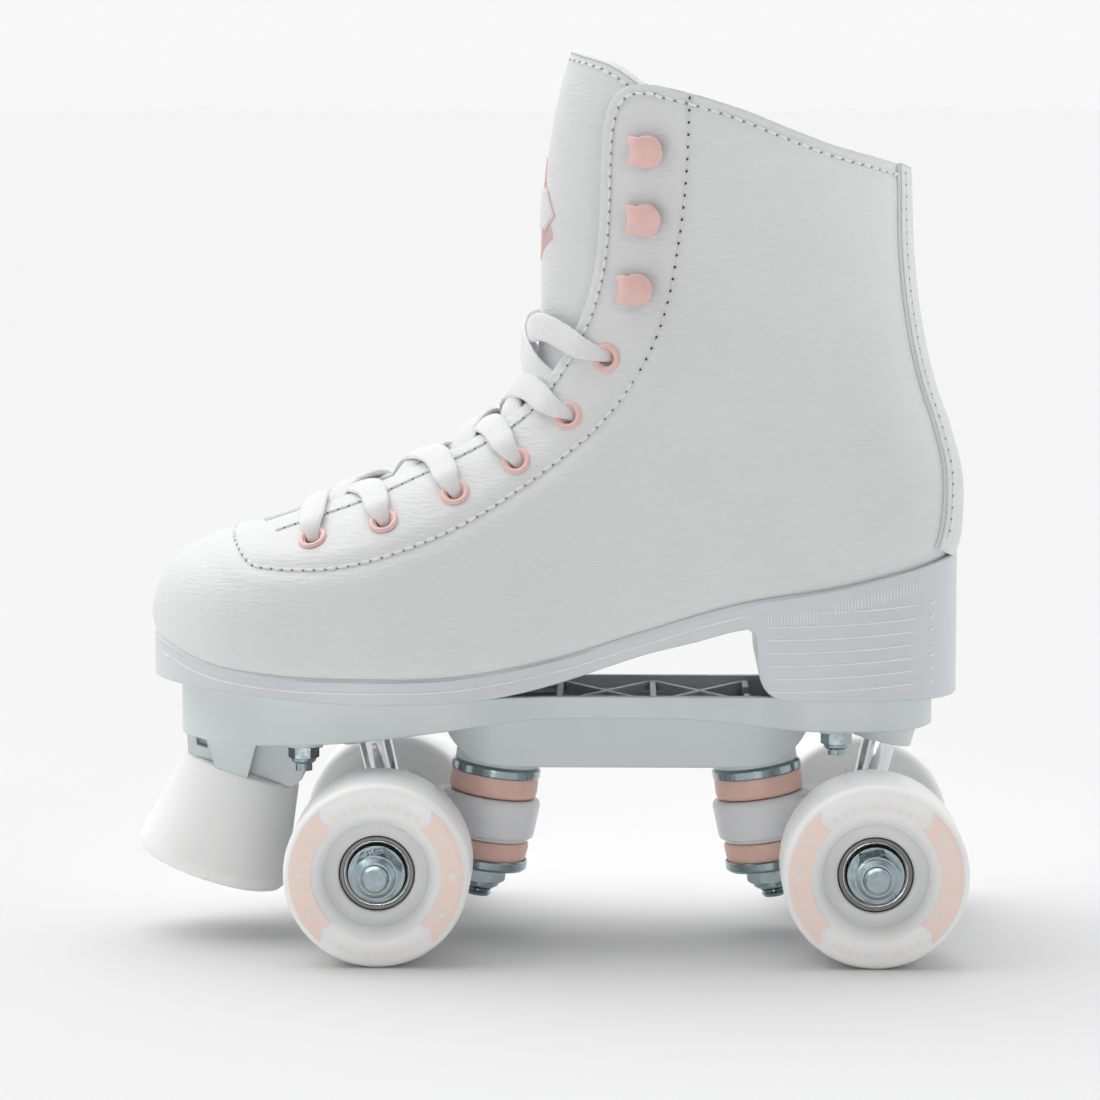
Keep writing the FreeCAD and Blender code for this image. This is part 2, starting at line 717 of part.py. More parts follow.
def keel_shape(inset, bottom):
    """Stadium-shaped keel between the king bolts, its ends rounded up in side view."""
    reach = dim("kingpin_x")
    radius = dim("keel_half_width") - inset
    rise = bottom - dim("keel_bottom")
    top = 72.0
    body = Part.makeBox(2 * reach, 2 * radius, top - 45, Vector(-reach, -radius, 45))
    for x in (-reach, reach):
        body = body.fuse(Part.makeCylinder(radius, top - 45, Vector(x, 0, 45)))
    end = [(-60.0, top), (-55.0 + inset, top), (-54.4 + inset, 62.6 + inset)]
    curve = [(-54.4 + inset, 62.6 + inset), (-50.0 + inset, 57.0 + inset),
             (-45.0, 53.7 + rise), (-36.0, bottom + 0.1), (-30.0, bottom)]
    right = [(-x, z) for x, z in curve]
    edges = [
        spline([side_point(x, z) for x, z in curve]),
        Part.makeLine(side_point(*curve[-1]), side_point(*right[-1])),
        spline([side_point(x, z) for x, z in right]),
        Part.makeLine(side_point(*curve[0]), side_point(end[1][0], top)),
        Part.makeLine(side_point(*right[0]), side_point(-end[1][0], top)),
        Part.makeLine(side_point(end[1][0], top), side_point(-end[1][0], top)),
    ]
    face = chain_face(edges)
    slab = face.extrude(Vector(0, 80, 0))
    slab.translate(Vector(0, -40, 0))
    return body.common(slab)


def rib(x1, y1, x2, y2, low, high, thickness=1.8):
    """Upright rib between two plan points."""
    length = math.hypot(x2 - x1, y2 - y1)
    box = Part.makeBox(length, thickness, high - low, Vector(0, -thickness / 2, 0))
    box.Placement = Placement(Vector(x1, y1, low),
                              Rotation(Vector(0, 0, 1), math.degrees(math.atan2(y2 - y1, x2 - x1))))
    return box


def plate_ribs():
    """Cross ribs of the tray and the keel."""
    low, high = 58.0, dim("plate_top") - 1.5
    ribs = []
    cells = [(-124, -100, 26), (-100, -72, 28), (-72, -44, 28), (-20, 8, 22), (8, 36, 22),
             (44, 66, 24), (66, 84, 22)]
    for start, end, half in cells:
        ribs.append(rib(start, -half, end, half, low, high))
        ribs.append(rib(start, half, end, -half, low, high))
    for x in (-100, -72, -44, -20, 8, 36):
        ribs.append(rib(x, -29, x, 29, low, high))
    return ribs


def stop_frame():
    """Frame at the middle of the toe stop's top face, Z up along its axis."""
    return Placement(Vector(dim("stop_x"), 0, dim("stop_z")),
                     Rotation(Vector(0, 1, 0), dim("stop_tilt")))


def stop_seat_height(x):
    """Height of the tilted seat of the toe stop."""
    return dim("stop_z") - (x - dim("stop_x")) * math.tan(math.radians(dim("stop_tilt")))


def stop_mount_shape():
    """Bracket under the plate's nose with its tilted seat and a gusset on each side."""
    def block(corners, y1, y2):
        points = [Vector(x, y1, z) for x, z in corners]
        return Part.Face(Part.makePolygon(points + points[:1])).extrude(Vector(0, y2 - y1, 0))

    seat = [(-130.9, stop_seat_height(-130.9)), (-100.1, stop_seat_height(-100.1))]
    core = block([(-131.4, 64)] + seat + [(-97.0, 47.0), (-91.0, 64)], -11, 11)
    gusset = [(-126.0, 64), (-122.2, stop_seat_height(-122.2)),
              (-112.6, stop_seat_height(-112.6)), (-108.4, 64)]
    core = core.fuse(block(gusset, -19, -11)).fuse(block(gusset, 11, 19))
    slot = block([(-128.6, 60), (-128.3, 57.5), (-125.2, 56.5), (-125.2, 60)], -11, -7)
    return core.cut(slot)


def plate_bosses():
    """King bolt seats, pivot bosses and mounting bolt bosses."""
    bosses = []
    for truck in TRUCKS:
        seat = Part.makeCylinder(12.6, dim("kingpin_seat"))
        seat.Placement = on_kingpin(truck, 0.0)
        bosses.append(seat)
        boss = Part.makeCone(9.6, 10.4, 15.0, Vector(0, 0, -3.6))
        boss.Placement = truck_placement(truck, pivot_frame)
        bosses.append(boss.common(Part.makeBox(260, 60, 22, Vector(-130, -30, 50.5))))
    for x, floor in ((dim("front_bolt_x"), 59.0), (dim("rear_bolt_x"), 63.6)):
        for sign in (-1, 1):
            bosses.append(Part.makeCylinder(5.6, 73.5 - floor,
                                            Vector(x, sign * dim("mount_bolt_y"), floor)))
    return bosses


def plate_holes():
    """King bolt holes and head pockets, pivot cup seats and mounting bolt holes."""
    holes = []
    for truck in TRUCKS:
        shaft = Part.makeCylinder(dim("kingpin_dia") / 2, 40, Vector(0, 0, -10))
        shaft = shaft.fuse(Part.makeCylinder(dim("large_nut_flats") / 2 + 0.6, 30,
                                             Vector(0, 0, dim("kingpin_seat"))))
        shaft.Placement = on_kingpin(truck, 0.0)
        holes.append(shaft)
        cup = Part.makeCylinder(dim("pivot_cup_radius"), dim("pivot_cup_radius") + 1.2 + 10,
                                Vector(0, 0, -10))
        cup.Placement = truck_placement(truck, pivot_frame)
        holes.append(cup)
    for x in (dim("front_bolt_x"), dim("rear_bolt_x")):
        for sign in (-1, 1):
            holes.append(Part.makeCylinder(dim("mount_bolt_dia") / 2, 60,
                                           Vector(x, sign * dim("mount_bolt_y"), 40)))
    bolt = Part.makeCylinder(4.0, 13.0)
    bolt.Placement = stop_frame()
    holes.append(bolt)
    return holes


def make_base_plate():
    wall = dim("plate_wall")
    column = extruded("plate_column", plate_outline("plate_plan", 0.0, 50), Vector(0, 0, 1), 40)
    slab = extruded("plate_slab", plate_side("plate_side", 0.0, 0.0), Vector(0, 1, 0), 40, 40)
    inner = extruded("tray_column", plate_outline("tray_plan", wall, 50), Vector(0, 0, 1), 40)
    void = extruded("tray_slab", plate_side("tray_side", wall, 6.0), Vector(0, 1, 0), 40, 40)
    block = common("plate_block", column, slab)
    tray_void = common("tray_void", inner, void)
    floor = dim("keel_bottom")
    keel = feature("keel", keel_shape(0.0, floor))
    keel_void = feature("keel_void", keel_shape(wall, floor + wall))
    shell = cut("plate_shell", fused("plate_mass", block, keel), tray_void, keel_void)
    room = fused("tray_room", tray_void, keel_void)
    ribs = common("plate_ribs", fused("ribs", *[feature(f"rib_{i}", shape)
                                                for i, shape in enumerate(plate_ribs())]), room)
    bosses = [feature(f"plate_boss_{i}", shape) for i, shape in enumerate(plate_bosses())]
    mount = feature("stop_mount", stop_mount_shape())
    solid = fused("plate_solid", shell, ribs, mount, *bosses)
    holes = [feature(f"plate_hole_{i}", shape) for i, shape in enumerate(plate_holes())]
    keep("base_plate", cut("base_plate", solid, *holes))


make_base_plate()


# ------------------------------------------------------------------ toe stop

def make_toe_stop():
    name = "toe_stop"
    depth = "dims.stop_height"
    wide = "dims.stop_bottom_radius"
    body = turned_body(name, [
        ("4.0", "0"), ("dims.stop_top_radius - 0.6", "0"), ("dims.stop_top_radius", "-0.6"),
        (wide, f"-{depth} + 4.0"), (f"{wide} - 0.3", f"-{depth} + 2.2"),
        (f"{wide} - 1.2", f"-{depth} + 0.8"), (f"{wide} - 3.0", f"-{depth}"),
        ("9.0", f"-{depth} - 0.6"), ("9.0", f"-{depth} + 11.0"), ("4.0", f"-{depth} + 11.0"),
    ])
    keep(name, body, stop_frame())
    seat = "(dims.stop_height - 11.0)"
    washer = turned_body("toe_stop_washer", [
        ("4.0", f"-{seat}"), ("8.6", f"-{seat}"), ("8.6", f"-{seat} - 1.6"),
        ("4.0", f"-{seat} - 1.6"),
    ])
    keep("toe_stop_washer", washer, stop_frame())
    bolt = turned_body("toe_stop_bolt", [
        ("0", "12.5"), ("3.2", "12.5"), ("4.0", "11.7"), ("4.0", f"-{seat} - 1.6"),
        ("6.5", f"-{seat} - 1.6"), ("6.5", f"-{seat} - 6.4"), ("6.0", f"-{seat} - 6.9"),
        ("3.0", f"-{seat} - 6.9"), ("3.0", f"-{seat} - 3.6"), ("0", f"-{seat} - 3.6"),
    ])
    keep("toe_stop_bolt", bolt, stop_frame())


make_toe_stop()


# ------------------------------------------------------------------ shape of the last

# One row per station, from the toe to above the collar: the front (or top) point and the
# back (or bottom) point on the centre plane, the half width, the height of the widest place
# as a share, the roundness of the upper and the lower part, and the shift to the right.
STATIONS = [
    (-142.6, 98.5, -142.6, 94.5, 4.2, 0.50, 2.0, 2.4, 3.6),
    (-141.6, 103.4, -140.6, 89.0, 10.5, 0.45, 2.0, 2.6, 3.6),
    (-138.4, 109.6, -137.0, 85.2, 19.5, 0.42, 2.1, 3.2, 3.4),
    (-132.5, 115.2, -130.6, 82.6, 29.0, 0.38, 2.1, 4.0, 3.0),
    (-122.0, 120.2, -120.5, 80.2, 37.5, 0.35, 2.1, 5.0, 2.3),
    (-107.5, 124.6, -106.0, 78.6, 42.8, 0.33, 2.1, 6.0, 1.4),
    (-91.0, 130.4, -88.0, 77.6, 44.8, 0.32, 2.1, 6.0, 0.6),
    (-74.0, 137.2, -68.0, 77.4, 44.6, 0.32, 2.15, 6.0, 0.0),
    (-58.0, 144.8, -45.0, 78.8, 41.6, 0.32, 2.15, 6.5, -0.5),
    (-44.0, 152.8, -20.0, 84.2, 37.6, 0.33, 2.1, 7.0, -0.8),
    (-34.5, 160.5, 8.0, 91.4, 35.4, 0.34, 2.1, 7.5, -0.8),
    (-30.0, 169.5, 42.0, 99.8, 34.6, 0.36, 2.1, 7.0, -0.5),
    (-28.9, 181.0, 80.0, 104.8, 34.4, 0.38, 2.1, 5.0, 0.0),
    (-28.8, 194.0, 95.8, 114.5, 34.2, 0.40, 2.1, 3.4, 0.0),
    (-28.5, 207.0, 98.9, 134.0, 33.6, 0.42, 2.1, 2.8, 0.0),
    (-28.0, 219.5, 95.8, 150.0, 33.2, 0.43, 2.05, 2.4, 0.0),
    (-26.8, 231.5, 90.0, 167.0, 33.8, 0.44, 2.0, 2.2, 0.0),
    (-25.0, 243.5, 85.9, 186.0, 35.0, 0.45, 2.0, 2.2, 0.0),
    (-22.4, 255.0, 83.7, 205.0, 36.4, 0.46, 2.0, 2.2, 0.0),
    (-19.0, 266.0, 83.0, 222.0, 37.6, 0.47, 2.0, 2.2, 0.0),
    (-15.0, 277.0, 82.0, 240.0, 38.8, 0.48, 2.0, 2.2, 0.0),
]
LAST_ROW = len(STATIONS) - 1


def station(v):
    """Row of the last at any station number, by a smooth curve through the rows."""
    v = min(max(v, 0.0), float(LAST_ROW))
    i = min(int(v), LAST_ROW - 1)
    t = v - i
    rows = [STATIONS[min(max(k, 0), LAST_ROW)] for k in (i - 1, i, i + 1, i + 2)]
    return [
        b + 0.5 * t * (c - a + t * (2 * a - 5 * b + 4 * c - d + t * (3 * (b - c) + d - a)))
        for a, b, c, d in zip(*rows)
    ]


def inset_station(v, inset):
    """Row moved inwards by a wall thickness, square to the centre-plane profiles."""
    row = station(v)
    before = station(v - 0.05)
    after = station(v + 0.05)
    for k, sign in ((0, 1), (2, -1)):
        dx = after[k] - before[k]
        dz = after[k + 1] - before[k + 1]
        size = math.hypot(dx, dz)
        row[k] += sign * inset * dz / size
        row[k + 1] -= sign * inset * dx / size
    row[4] = max(row[4] - inset, 1.5)
    return row


def outline_point(row, angle):
    """Point of a station's outline; angle 90 is the front, -90 the back, 0 the left."""
    fx, fz, bx, bz, half, widest, top, low, shift = row
    c = math.cos(angle)
    d = math.sin(angle)
    power = top if d >= 0 else low
    y = half * math.copysign(abs(c) ** (2.0 / power), c)
    reach = (1 - widest) if d >= 0 else widest
    share = widest + reach * math.copysign(abs(d) ** (2.0 / power), d)
    return Vector(bx + (fx - bx) * share, shift - y, bz + (fz - bz) * share)


SECTION_POINTS = 36
SEAM_ANGLE = -72
TOE_STATIONS = [0.3, 1.0, 1.6, 2.3]


def section_points(v, inset):
    """Evenly spaced points round one station, closed beside the back point."""
    row = inset_station(v, inset)
    fine = [outline_point(row, math.radians(SEAM_ANGLE + degrees)) for degrees in range(361)]
    run = [0.0]
    for first, second in zip(fine, fine[1:]):
        run.append(run[-1] + (second - first).Length)
    points = []
    i = 0
    for k in range(SECTION_POINTS):
        target = run[-1] * k / SECTION_POINTS
        while run[i + 1] < target:
            i += 1
        points.append(fine[i] + (fine[i + 1] - fine[i]) * ((target - run[i]) / (run[i + 1] - run[i])))
    return points + points[:1]


def last_solid(name, inset, first=0):
    """Solid of the last, inset by a wall thickness, from a station to above the collar."""
    stations = list(TOE_STATIONS) if first == 0 else []
    start = max(first, 3)
    stations += [start + k / 2 for k in range(2 * (LAST_ROW - start) + 1)]
    surface = Part.BSplineSurface()
    surface.interpolate([section_points(v, inset) for v in stations])
    ends = [surface.bounds()[0], surface.bounds()[1]]
    caps = [Part.Face(Part.Wire(surface.uIso(u).toShape())) for u in ends]
    solid = Part.Solid(Part.Shell([surface.toShape()] + caps))
    if solid.Volume < 0:
        solid.reverse()
    return feature(name, solid)


def locate(x, z, lift=0.0):
    """Station number and left-side angle of the surface place seen at (x, z)."""
    low, high = 0.0, float(LAST_ROW)
    for _ in range(40):
        v = (low + high) / 2
        row = inset_station(v, -lift)
        cross = (row[0] - row[2]) * (z - row[3]) - (row[1] - row[3]) * (x - row[2])
        if cross > 0:
            high = v
        else:
            low = v
    length = math.hypot(row[0] - row[2], row[1] - row[3])
    share = ((x - row[2]) * (row[0] - row[2]) + (z - row[3]) * (row[1] - row[3])) / length ** 2
    power, reach = (row[6], 1 - row[5]) if share >= row[5] else (row[7], row[5])
    part = min(abs(share - row[5]) / reach, 1.0)
    return v, math.copysign(math.asin(part ** (power / 2.0)), share - row[5])


def last_point(v, angle, lift=0.0):
    return outline_point(inset_station(v, -lift), angle)


def last_normal(v, angle):
    """Outward direction of the last's surface."""
    along = last_point(v + 0.02, angle) - last_point(v - 0.02, angle)
    around = last_point(v, angle + 0.02) - last_point(v, angle - 0.02)
    normal = along.cross(around)
    normal.normalize()
    return normal


def on_last(x, z, side, lift=0.0):
    """Surface point seen at (x, z) from one side, and the outward direction there."""
    v, angle = locate(x, z, lift)
    if side > 0:
        angle = math.pi - angle
    return last_point(v, angle, lift), last_normal(v, angle)


# ------------------------------------------------------------------ lines on the upper

FACING_EDGE = [(-107.5, 124.2), (-96, 128.2), (-78, 134.6), (-60, 142.6), (-44, 150.6),
               (-33, 157.6), (-24.5, 166.5), (-18, 176.5), (-12.4, 189), (-9.2, 202),
               (-8, 216), (-7.6, 231), (-6.8, 242), (-4.4, 249.6), (0.6, 253.4), (8, 253.5)]
STITCH_LINE = [(-117, 121.5), (-112, 115.5), (-106.4, 113.4), (-86.5, 113.7), (-66, 118.8),
               (-45.6, 127.6), (-25.2, 140.8), (-7.8, 155.4), (3.8, 171.4), (11, 188.8),
               (15.2, 211.9), (16.9, 229.1), (17.7, 252.0), (17.9, 262.0)]
COLLAR_LINE = [(8, 253.5), (20, 250.6), (33.3, 246.4), (46.6, 241.1), (59.9, 236.1),
               (73.3, 232.3), (84.0, 229.4), (92.0, 227.6)]
OPEN_AIR = [(110, 226), (110, 330), (-170, 330), (-170, 150)]


def side_cutter(name, line, rest, y1=-70.0, y2=70.0):
    """Prism across the skate whose side outline is a smooth line closed by corners."""
    smooth = [side_point(x, z) for x, z in line]
    corners = [smooth[-1]] + [side_point(x, z) for x, z in rest] + [smooth[0]]
    face = chain_face([spline(smooth)] + polyline(corners))
    return extruded(name, feature(name + "_outline", face), Vector(0, 1, 0), y2, -y1)


collar_face_edges = [
    spline([side_point(x, z) for x, z in FACING_EDGE]),
    spline([side_point(x, z) for x, z in COLLAR_LINE]),
] + polyline([side_point(*COLLAR_LINE[-1])] + [side_point(x, z) for x, z in OPEN_AIR]
             + [side_point(*FACING_EDGE[0])])
mouth_cutter = extruded("mouth_cutter", feature("mouth_outline", chain_face(collar_face_edges)),
                        Vector(0, 1, 0), 70, 70)
stay_cutter = side_cutter("stay_cutter", STITCH_LINE, [(-170, 262), (-170, 140)])
TONGUE_EDGE = [(-106, 119.5), (-94, 122.5), (-78, 127.5), (-60, 135.3), (-42, 145.5),
               (-26, 157), (-14.5, 169), (-7.2, 182), (-2.2, 197), (0.6, 214), (1.8, 232),
               (3.2, 246), (8.0, 262), (12, 276)]
tongue_cutter = side_cutter("tongue_cutter", TONGUE_EDGE, [(-170, 276), (-170, 140)])
TONGUE_TOP = [(-40, 274.0), (-19.6, 264.0), (-8.5, 260.6), (1.5, 253.4), (9.0, 243.0)]
tongue_top_cutter = side_cutter("tongue_top_cutter", TONGUE_TOP, [(60, 243), (60, 330), (-40, 330)])

last_outer = last_solid("last_outer", 0.0)
last_leather = last_solid("last_leather", dim("leather"))
last_stay = last_solid("last_stay", dim("leather") + dim("stay_thickness"), 3)
last_foot = last_solid("last_foot", dim("leather") + dim("lining_thickness"))
last_backstay = last_solid("last_backstay", -dim("backstay_thickness"), 10)
TONGUE_GAP = 0.3
tongue_lift = dim("leather") + dim("stay_thickness") + TONGUE_GAP
last_tongue = last_solid("last_tongue", tongue_lift, 4)
last_tongue_back = last_solid("last_tongue_back", tongue_lift + dim("tongue_thickness"), 4)
doc.recompute()

# ------------------------------------------------------------------ holes through the upper

EYELETS = [(-92.0, 121.6), (-71.0, 126.8), (-50.2, 135.0), (-32.3, 144.0), (-17.2, 157.2),
           (-6.1, 174.2)]
HOOKS = [(2.6, 194.2), (5.2, 214.7), (5.8, 234.5)]


def frame_on_last(x, z, side, lift=0.0):
    """Placement on the upper with Z along the outward direction, X towards the toe."""
    point, normal = on_last(x, z, side, lift)
    ahead = Vector(-1, 0, 0)
    ahead = ahead - normal * ahead.dot(normal)
    ahead.normalize()
    return Placement(point, Rotation(ahead, normal.cross(ahead), normal, "ZXY"))


def eyelet_shape():
    """Rolled metal eyelet: round flange outside, barrel through the facing."""
    flange = dim("eyelet_flange_radius")
    hole = dim("eyelet_hole_radius")
    barrel = hole + 0.45
    ring = Part.makeTorus((flange + hole + 0.3) / 2, (flange - hole - 0.3) / 2)
    ring = ring.common(Part.makeCylinder(flange + 1, 3))
    ring = ring.fuse(Part.makeCylinder(barrel, 3.0, Vector(0, 0, -2.9)))
    return ring.cut(Part.makeCylinder(hole, 8, Vector(0, 0, -4)))


def hook_shape():
    """Speed hook: riveted foot, short neck and a rounded, two-eared plate over the foot."""
    foot = Part.makeCylinder(4.4, 0.8)
    neck = Part.makeBox(2.2, 5.6, 3.6, Vector(2.4, -2.8, 0))
    low, thick = 2.9, 0.9
    plate = Part.makeCylinder(4.9, thick, Vector(-1.0, 0, low))
    plate = plate.fuse(Part.makeBox(5.4, 8.8, thick, Vector(-1.0, -4.4, low)))
    for y in (-3.6, 3.6):
        plate = plate.fuse(Part.makeCylinder(1.4, thick, Vector(4.3, y, low)))
    rivet = Part.makeCylinder(1.7, 3.0, Vector(0, 0, -2.9))
    return foot.fuse(neck).fuse(plate).fuse(rivet)


eyelet_frames = [frame_on_last(x, z, side) for side in SIDES.values() for x, z in EYELETS]
hook_frames = [frame_on_last(x, z, side) for side in SIDES.values() for x, z in HOOKS]


def placed_copies(shape, frames):
    return Part.makeCompound([shape.transformed(frame.toMatrix()) for frame in frames])


keep("eyelets", feature("eyelets", placed_copies(eyelet_shape(), eyelet_frames)))
keep("hooks", feature("hooks", placed_copies(hook_shape(), hook_frames)))
barrel_radius = dim("eyelet_hole_radius") + 0.45
eyelet_drill = feature("eyelet_drill", placed_copies(
    Part.makeCylinder(barrel_radius, 12, Vector(0, 0, -6)), eyelet_frames))
hook_drill = feature("hook_drill", placed_copies(
    Part.makeCylinder(1.7, 12, Vector(0, 0, -6)), hook_frames))

BOLTS = [(dim("front_bolt_x"), 51.7, 59.0, 82.6), (dim("rear_bolt_x"), 56.9, 63.6, 108.6)]


def bolt_frames():
    for x, end, seat, head in BOLTS:
        for sign in (-1, 1):
            yield x, sign * dim("mount_bolt_y"), end, seat, head


def mounting_bolt(x, y, end, head):
    """Countersunk machine screw, head up under the insole."""
    radius = dim("mount_bolt_dia") / 2
    bolt = Part.makeCylinder(radius, head - end, Vector(x, y, end))
    return bolt.fuse(Part.makeCone(radius, radius + 2.4, 1.8, Vector(x, y, head - 1.8)))


bolts = [mounting_bolt(x, y, end, head) for x, y, end, seat, head in bolt_frames()]
keep("mounting_bolts", feature("mounting_bolts", Part.makeCompound(bolts)))
small_nut = lock_nut(dim("small_nut_flats"), dim("mount_bolt_dia") / 2, 5.0)
nuts = []
for x, y, end, seat, head in bolt_frames():
    turned = small_nut.copy()
    turned.rotate(Vector(0, 0, 0), Vector(1, 0, 0), 180)
    turned.translate(Vector(x, y, seat))
    nuts.append(turned)
keep("mounting_nuts", feature("mounting_nuts", Part.makeCompound(nuts)))
bolt_drill = feature("bolt_drill", Part.makeCompound(bolts))

# ------------------------------------------------------------------ boot

upper_wall = cut("upper_wall", last_outer, last_leather, mouth_cutter)
keep("boot_upper", cut("boot_upper", upper_wall, eyelet_drill, hook_drill, bolt_drill))
lining_wall = cut("lining_wall", last_leather, last_foot, mouth_cutter, stay_cutter)
keep("boot_lining", cut("boot_lining", lining_wall, bolt_drill))
stay_wall = cut("stay_wall", last_leather, last_stay, mouth_cutter)
stay_zone = common("stay_zone", stay_wall, stay_cutter)
keep("eyestays", cut("eyestays", stay_zone, eyelet_drill, hook_drill))

tongue_wall = cut("tongue_wall", last_tongue, last_tongue_back, tongue_top_cutter)
keep("tongue", common("tongue", tongue_wall, tongue_cutter))

def backstay_zone():
    """Strip outline seen from behind, wider towards the heel."""
    top, bottom = 229.0, 117.2
    narrow, wide = 9.0, 15.0
    corners = [Vector(75, narrow, top), Vector(75, wide, bottom), Vector(75, -wide, bottom),
               Vector(75, -narrow, top)]
    outline = feature("backstay_outline", Part.Face(Part.makePolygon(corners + corners[:1])))
    return extruded("backstay_zone", outline, Vector(1, 0, 0), 40)


backstay_wall = cut("backstay_wall", last_backstay, last_outer)
keep("backstay", common("backstay", backstay_wall, backstay_zone()))

# ------------------------------------------------------------------ sole

SOLE_PLAN = [(-142.0, 0.0), (-141.6, 5.0), (-140.3, 10.6), (-136.9, 19.4), (-130.0, 29.4),
             (-117.0, 38.4), (-97.0, 43.4), (-74.0, 43.8), (-48.0, 40.6), (-18.0, 35.6),
             (12.0, 34.5), (42.0, 34.0), (64.0, 33.7), (77.0, 32.3), (86.0, 29.1),
             (92.4, 23.5), (96.4, 15.6), (98.1, 7.6), (98.6, 0.0)]
SOLE_TOP = [(-145, 90.6), (-136, 88.6), (-128, 85.8), (-118, 83.4), (-97, 81.4), (-73, 80.9),
            (-57, 81.0), (-41, 82.6), (-19, 87.0), (4, 94.0), (33, 102.4), (60, 106.8),
            (77, 110.8), (88, 113.6), (99, 116.6)]
ARCH = [(-58, 74.15), (-45, 74.8), (-31, 77.0), (-12, 82.3), (6, 88.3), (22.7, 92.5),
        (31, 94.8), (35.6, 95.6)]
HEEL_BREAST = [(38.0, 93.6), (38.8, 82.0), (39.6, 79.4), (41.6, 76.6), (44.6, 74.9),
               (48.5, 74.15)]


def plan_shift(x):
    """Sideways lean of the sole's centre line towards the big toe."""
    for first, second in zip(STATIONS, STATIONS[1:]):
        if first[2] <= x <= second[2]:
            t = (x - first[2]) / (second[2] - first[2])
            return first[8] + t * (second[8] - first[8])
    return STATIONS[0][8] if x < 0 else 0.0


def sole_plan(name, height):
    """Plan outline of the sole: two smooth flanks that meet square to the centre plane."""
    edges = []
    for sign in (1, -1):
        curve = Part.BSplineCurve()
        curve.interpolate([Vector(x, sign * y + plan_shift(x), height) for x, y in SOLE_PLAN],
                          InitialTangent=Vector(0, sign, 0), FinalTangent=Vector(0, -sign, 0),
                          Scale=False)
        edges.append(curve.toShape())
    return feature(name, chain_face(edges))


def sole_side(name):
    """Side outline of the sole: toe spring, flat ball, arch, heel breast and heel."""
    top = [side_point(x, z) for x, z in SOLE_TOP]
    spring = [side_point(x, z) for x, z in TOE_SPRING]
    arch = [side_point(x, z) for x, z in ARCH]
    breast = [side_point(x, z) for x, z in HEEL_BREAST]
    back_low = side_point(SOLE_TOP[-1][0], dim("plate_top"))
    start = side_point(SOLE_TOP[0][0], TOE_SPRING[0][1])
    edges = [spline(top), spline(spring), Part.makeLine(spring[-1], arch[0]), spline(arch),
             Part.makeLine(arch[-1], breast[0]), spline(breast[1:]),
             Part.makeLine(breast[0], breast[1]), Part.makeLine(breast[-1], back_low),
             Part.makeLine(back_low, top[-1]), Part.makeLine(top[0], start),
             Part.makeLine(start, spring[0])]
    return feature(name, chain_face(edges))


sole_column = extruded("sole_column", sole_plan("sole_plan", 60), Vector(0, 0, 1), 80)
sole_slab = extruded("sole_slab", sole_side("sole_side"), Vector(0, 1, 0), 60, 60)
sole_bed = cut("sole_bed", sole_slab, last_outer)
sole_block = common("sole_block", sole_bed, sole_column)
keep("sole_unit", cut("sole_unit", sole_block, bolt_drill))

# ------------------------------------------------------------------ insole

INSOLE_LINE = [(-138, 88.0), (-120, 86.6), (-95, 85.6), (-68, 85.6), (-45, 87.2), (-20, 92.4),
               (8, 100.0), (42, 108.6), (66, 113.4), (86, 119.0)]


def insole_slab():
    """Everything of the foot room under the foot bed."""
    line = [side_point(x, z) for x, z in INSOLE_LINE]
    corners = line + [side_point(120, 119), side_point(120, 60), side_point(-160, 60),
                      side_point(-160, 88)]
    face = Part.Face(Part.makePolygon(corners + corners[:1]))
    return extruded("insole_slab", feature("insole_outline", face), Vector(0, 1, 0), 60, 60)


insole_mass = common("insole_mass", last_foot, insole_slab())
keep("insole", cut("insole", insole_mass, bolt_drill))


# ------------------------------------------------------------------ lace

def strap(points, widths, thickness):
    """Flat strap through places given as (middle, across, up) directions."""
    wires = []
    for (middle, across, up), width in zip(points, widths):
        a = across * (width / 2)
        b = up * (thickness / 2)
        corners = [middle - a - b, middle + a - b, middle + a + b, middle - a + b]
        wires.append(Part.makePolygon(corners + corners[:1]))
    return Part.makeLoft(wires, True, True)


def lace_frames(start, end, first_share):
    """Places along a lace that lies on the upper between two located eyelets."""
    lift = dim("lace_thickness") / 2 + LACE_CLEARANCE
    steps = 14
    places = []
    for step in range(steps + 1):
        t = first_share + (1 - first_share) * step / steps
        v = start[0] + t * (end[0] - start[0])
        turn = start[1] + t * (end[1] - start[1])
        places.append((last_point(v, turn, lift), last_normal(v, turn)))
    frames = []
    for step, (point, out) in enumerate(places):
        along = places[min(step + 1, steps)][0] - places[max(step - 1, 0)][0]
        along.normalize()
        across = out.cross(along)
        across.normalize()
        frames.append((point, across, along.cross(across)))
    return frames


LACE_CLEARANCE = 1.0
LACE_START = 0.2


def make_lace():
    """First bar straight across, then crossings that dive into each next eyelet."""
    spots = [locate(x, z) for x, z in EYELETS]
    right = [(v, math.pi - turn) for v, turn in spots]
    runs = [(right[0], spots[0], 0.0)]
    for low in range(len(spots) - 1):
        runs.append((right[low], spots[low + 1], LACE_START))
        runs.append((spots[low], right[low + 1], LACE_START))
    wide = dim("lace_width")
    straps = []
    length = 0.0
    for run, (start, end, share) in enumerate(runs):
        frames = lace_frames(start, end, share)
        widths = [wide] * len(frames)
        widths[-1] = wide * 0.6
        if share == 0.0:
            widths[0] = wide * 0.6
        length += sum((b[0] - a[0]).Length for a, b in zip(frames, frames[1:]))
        straps.append(feature(f"strap_{run}", strap(frames, widths, dim("lace_thickness"))))
    print("lace length on the upper, mm:", round(length, 1))
    keep("lace", fused("lace", *straps))


make_lace()

# ------------------------------------------------------------------ checks and files

